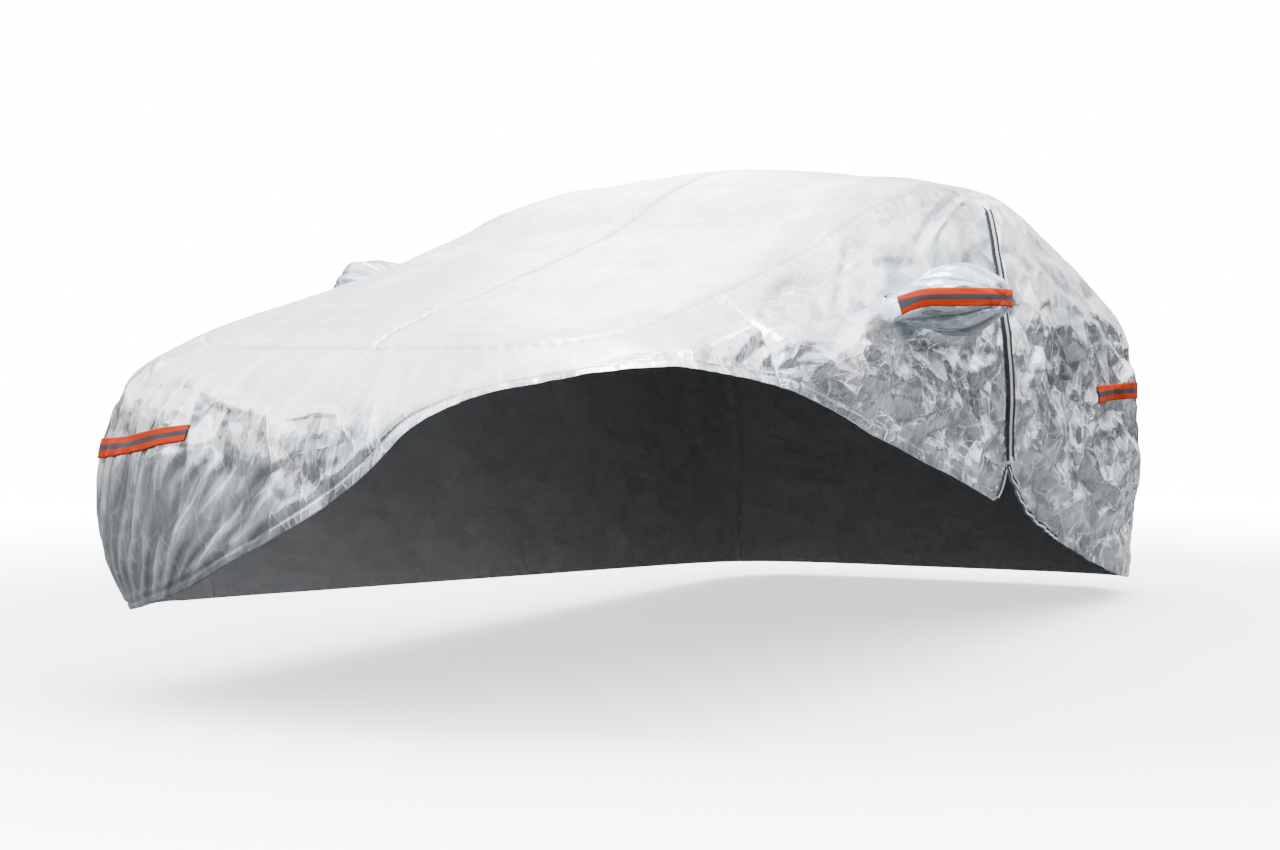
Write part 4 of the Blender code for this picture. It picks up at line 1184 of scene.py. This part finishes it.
def edge_line(edge, run, inset, lift):
    """Places set in from a panel's lower edge, square to it."""
    slope = (edge(run + 0.005) - edge(run - 0.005)) * RING_STEP / 0.01
    size = np.sqrt(1.0 + slope**2)
    return on_cover(run + inset * slope / size, edge(run) - inset / size / RING_STEP, edge, lift)


def zip_front_line(share, inset, lift):
    """Down the opened edge of the front left panel, forward from the slider."""
    return edge_line(drawn_edge, ZIP_RUN - 0.008 - share * 0.095, inset, lift)


def zip_rear_line(share, inset, lift):
    """Along the opened edge of the rear left panel, back from the slider."""
    return edge_line(rear_left_edge, ZIP_RUN + 0.012 + share**1.5 * 0.60, inset, lift)


def zip_closed_line(share, inset, lift):
    """Down the closed zip, from the roof edge to the slider."""
    ring = ZIP_RINGS[0] + share * (ZIP_RINGS[1] - ZIP_RINGS[0])
    return on_cover(ZIP_RUN + inset, ring, None, lift)


def teeth(name, line, insets):
    """Teeth at even steps down a line, in as many rows as insets, each row half a step on."""
    share = np.linspace(0.0, 1.0, 500)
    size = Matrix.Diagonal((*TOOTH_SIZE, 1.0))
    row = bmesh.new()
    for number, inset in enumerate(insets):
        points, out = line(share, np.full_like(share, inset), TAPE_LIFT + TAPE_THICK + TOOTH_SIZE[2] / 2)
        reach = reach_of(points)
        for at in np.arange(TOOTH_PITCH * (1 + number) / 2, reach[-1], TOOTH_PITCH):
            middle = point_at(at, reach, points)
            along = (point_at(at + 0.002, reach, points) - middle).normalized()
            side = point_at(at, reach, out).cross(along).normalized()
            turn = Matrix((side, along, side.cross(along))).transposed().to_4x4()
            bmesh.ops.create_cube(row, size=1.0, matrix=Matrix.Translation(middle) @ turn @ size)
    bmesh.ops.bevel(row, geom=row.edges, offset=TOOTH_BEVEL, segments=1, profile=0.5, affect="EDGES",
                    material=-1)
    return shaped(name, row, TEETH, CORNER)


ZIPS = (
    # name, line, tape from and to across, cells along, tooth rows, length
    ("zip_closed", zip_closed_line, (-ZIP_HALF_WIDTH, ZIP_HALF_WIDTH), 150, (-0.0024, 0.0024), 0.86),
    ("zip_open_front", zip_front_line, (0.0, OPEN_TAPE), 30, (0.0030,), 0.14),
    ("zip_open_rear", zip_rear_line, (0.0, OPEN_TAPE), 110, (0.0030,), 0.75),
)
for name, line, (near, far), cells_long, rows, length in ZIPS:

    def surface(across, down):
        inset = near + (1.0 - across) * (far - near)
        cut = np.stack([across * (far - near), down * length], 1)
        flat = np.zeros_like(across)
        return line(down, inset, TAPE_LIFT + TAPE_THICK)[0], flat, flat, cut

    piece = sewn_cloth(name + "_tape", surface, (4, cells_long), TAPE, TAPE_THICK)
    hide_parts(name)
    row = teeth(name + "_teeth", line, rows)

# The slider: a body over the teeth, and a pull tab that hangs from it.
slider = bmesh.new()
here, way_out = on_cover(np.array([ZIP_RUN]), np.array([ZIP_RINGS[1]]), None, TAPE_LIFT + TAPE_THICK)
way_out = Vector((way_out[0][0], way_out[0][1], 0.0)).normalized()
across = Vector((0.0, 0.0, 1.0)).cross(way_out)
turn = Matrix((across, Vector((0.0, 0.0, 1.0)), way_out)).transposed().to_4x4()
SLIDER_BEVEL = 0.0006
SLIDER_PARTS = (
    # up the zip, out from the tape, width, height, thickness
    (0.002, 0.0030, 0.0170, 0.0200, 0.0060),
    (0.003, 0.0072, 0.0060, 0.0100, 0.0030),
    (-0.018, 0.0076, 0.0090, 0.0320, 0.0018),
)
for up, out, wide, tall, thick in SLIDER_PARTS:
    centre = Vector(here[0]) + way_out * out + Vector((0.0, 0.0, up))
    size = Matrix.Diagonal((wide, tall, thick, 1.0))
    bmesh.ops.create_cube(slider, size=1.0, matrix=Matrix.Translation(centre) @ turn @ size)
bmesh.ops.bevel(slider, geom=slider.edges, offset=SLIDER_BEVEL, segments=3, profile=0.5, affect="EDGES",
                material=-1)
piece = shaped("zip_slider_body", slider, TEETH, CORNER)
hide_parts("zip_slider")

# ---------------------------------------------------------------------------
# Seam stitching
# Grey thread holds the halves together down the middle, the skirt to the top round the roof
# and bonnet edge, the corner seams, and the hems.
# ---------------------------------------------------------------------------
THREAD_LIFT = 0.0006
SEAM_LINES = (
    # name, lines of (run_from, ring_from, run_to, ring_to, edge)
    ("middle_seam_stitches", [(0.004, 0.02, 0.0, 1.985, None), (TAIL - 0.004, 0.02, TAIL, 1.985, None)]),
    ("edge_seam_stitches", [(-TAIL, 1.982, TAIL, 1.982, None)]),
    ("corner_seam_stitches", [(FRONT_SEAM + 0.008, 2.03, FRONT_SEAM + 0.008, 3.10, drawn_edge),
                              (-FRONT_SEAM - 0.008, 2.03, -FRONT_SEAM - 0.008, 4.97, full_edge),
                              (REAR_SEAM - 0.008, 2.03, REAR_SEAM - 0.008, 4.97, full_edge),
                              (-REAR_SEAM + 0.008, 2.03, -REAR_SEAM + 0.008, 4.97, full_edge)]),
)
for name, table in SEAM_LINES:
    share = np.linspace(0.0, 1.0, 1200)
    lines = []
    for run_from, ring_from, run_to, ring_to, edge in table:
        run = run_from + share * (run_to - run_from)
        ring = ring_from + share * (ring_to - ring_from)
        lines.append(on_cover(run, ring, edge, THREAD_LIFT)[0])
    stitching(name, lines, GREY_THREAD)

HEM_LINES = (
    # run_from, run_to, edge
    (-FRONT_SEAM, ZIP_RUN - 0.02, drawn_edge),
    (ZIP_RUN + 0.50, REAR_SEAM, rear_left_edge),
    (REAR_SEAM, PERIMETER - FRONT_SEAM, full_edge),
)
lines = []
for run_from, run_to, edge in HEM_LINES:
    run = np.linspace(run_from, run_to, 1600)
    ring = edge(run) - (HEM - 0.002) * np.sqrt(1.0 + edge_slope(run, edge) ** 2) / RING_STEP
    lines.append(on_cover(run, ring, edge, THREAD_LIFT)[0])
stitching("hem_stitches", lines, GREY_THREAD, pitch=0.012)

# ---------------------------------------------------------------------------
# Studio
# A floor under the cover, pale and glowing with painted light to the camera and near black to all else, and
# soft light from above and both sides, with the camera low in front of the cover's left corner.
# ---------------------------------------------------------------------------
FLOOR_RADIUS = 9.0
FLOOR_LIFT = (1.3, 14.0)    # how much the floor is washed out with light, near and far
FLOOR_LIFT_REACH = (3.2, 7.5)
disc = bmesh.new()
bmesh.ops.create_circle(disc, cap_ends=True, segments=128, radius=FLOOR_RADIUS)
bmesh.ops.translate(disc, verts=disc.verts, vec=(0.0, -float(ROOF_POINT[1]), -float(ROOF_POINT[2])))
floor_mesh = bpy.data.meshes.new("studio_floor")
disc.to_mesh(floor_mesh)
disc.free()
placed("studio_floor", floor_mesh)
pale, tree, shader = finish("studio_floor_paint")
seen = node(tree, "ShaderNodeLightPath").outputs["Is Camera Ray"]
place = node(tree, "ShaderNodeTexCoord").outputs["Object"]
out_there = node(tree, "ShaderNodeVectorMath", {0: place}, operation="LENGTH").outputs["Value"]
washed = ranged(tree, out_there, *FLOOR_LIFT, *FLOOR_LIFT_REACH)
# Painted light: the floor glows for camera rays only, more strongly further out, and is near black to every
# other ray, so the laminate reflects it dark.
wired(tree, shader, {"Base Color": mixed(tree, seen, (0.050, 0.050, 0.052), (0.88, 0.89, 0.90)),
                     "Roughness": ranged(tree, seen, 0.20, 0.90), "Emission Color": (1.0, 1.0, 1.0, 1.0),
                     "Emission Strength": maths(tree, "MULTIPLY", seen, washed)})
floor_mesh.materials.append(pale)

WINDOWS = 9.0               # tall soft lights round the room, with dark between them
WINDOW_LIGHT = 0.42
world = bpy.data.worlds.new("studio_light")
bpy.context.scene.world = world
world.use_nodes = True
tree = world.node_tree
sky = tree.nodes["Background"]
direction = node(tree, "ShaderNodeTexCoord").outputs["Generated"]
parts = node(tree, "ShaderNodeSeparateXYZ", {"Vector": direction}).outputs
height = parts["Z"]
ramp = node(tree, "ShaderNodeValToRGB", {"Fac": ranged(tree, height, 0.0, 1.0, -1.0, 1.0)})
stops = ramp.color_ramp.elements
stops[0].position, stops[0].color = 0.0, (0.05, 0.05, 0.05, 1.0)
stops[1].position, stops[1].color = 1.0, (0.90, 0.955, 1.0, 1.0)
for place, shade in ((0.50, 0.03), (0.585, 0.08), (0.65, 0.26), (0.72, 0.62), (0.80, 1.0)):
    stop = stops.new(place)
    stop.color = (shade * 0.90, shade * 0.955, shade, 1.0)
round_about = maths(tree, "ARCTAN2", parts["Y"], parts["X"])
panes = maths(tree, "SINE", maths(tree, "MULTIPLY", round_about, WINDOWS))
panes = ranged(tree, panes, 0.0, 1.0, -0.35, 0.95)
tall = maths(tree, "MULTIPLY", ranged(tree, height, 0.0, 1.0, -0.02, 0.04),
             ranged(tree, height, 1.0, 0.0, 0.20, 0.42))
panes = maths(tree, "MULTIPLY", maths(tree, "MULTIPLY", panes, tall), WINDOW_LIGHT)
wired(tree, sky, {"Color": blended(tree, 1.0, ramp.outputs["Color"], panes, "ADD"), "Strength": 5.0})
backdrop = node(tree, "ShaderNodeBackground", {"Color": (1.0, 1.0, 1.0, 1.0), "Strength": 16.0})
seen = node(tree, "ShaderNodeLightPath").outputs["Is Camera Ray"]
both = node(tree, "ShaderNodeMixShader", {0: seen, 1: sky.outputs[0], 2: backdrop.outputs[0]})
tree.links.new(both.outputs[0], tree.nodes["World Output"].inputs["Surface"])

LAMPS = (
    # name, place, aimed at, size, watts
    ("overhead", (0.5, -1.5, 5.0), (0.0, -0.7, 0.0), 4.0, 500.0),
    ("left_front", (6.5, -4.0, 3.2), (0.5, -1.0, -0.6), 2.0, 150.0),
    ("rear", (-3.5, 5.5, 3.5), (0.0, 0.5, -0.3), 3.0, 250.0),
)
for name, place, aim, size, watts in LAMPS:
    lamp = bpy.data.lights.new(name, "AREA")
    lamp.shape = "DISK"
    lamp.size = size
    lamp.energy = watts
    light = placed(name, lamp)
    light.location = place
    light.rotation_euler = (Vector(aim) - Vector(place)).to_track_quat("-Z", "Y").to_euler()

view = bpy.data.cameras.new("camera")
view.lens = 63.5
view.sensor_width = 36.0
camera = placed("camera", view)
camera.location = (3.075, -7.469, -0.697)
camera.rotation_euler = (math.radians(88.757), 0.0, math.radians(26.527))
bpy.context.scene.camera = camera
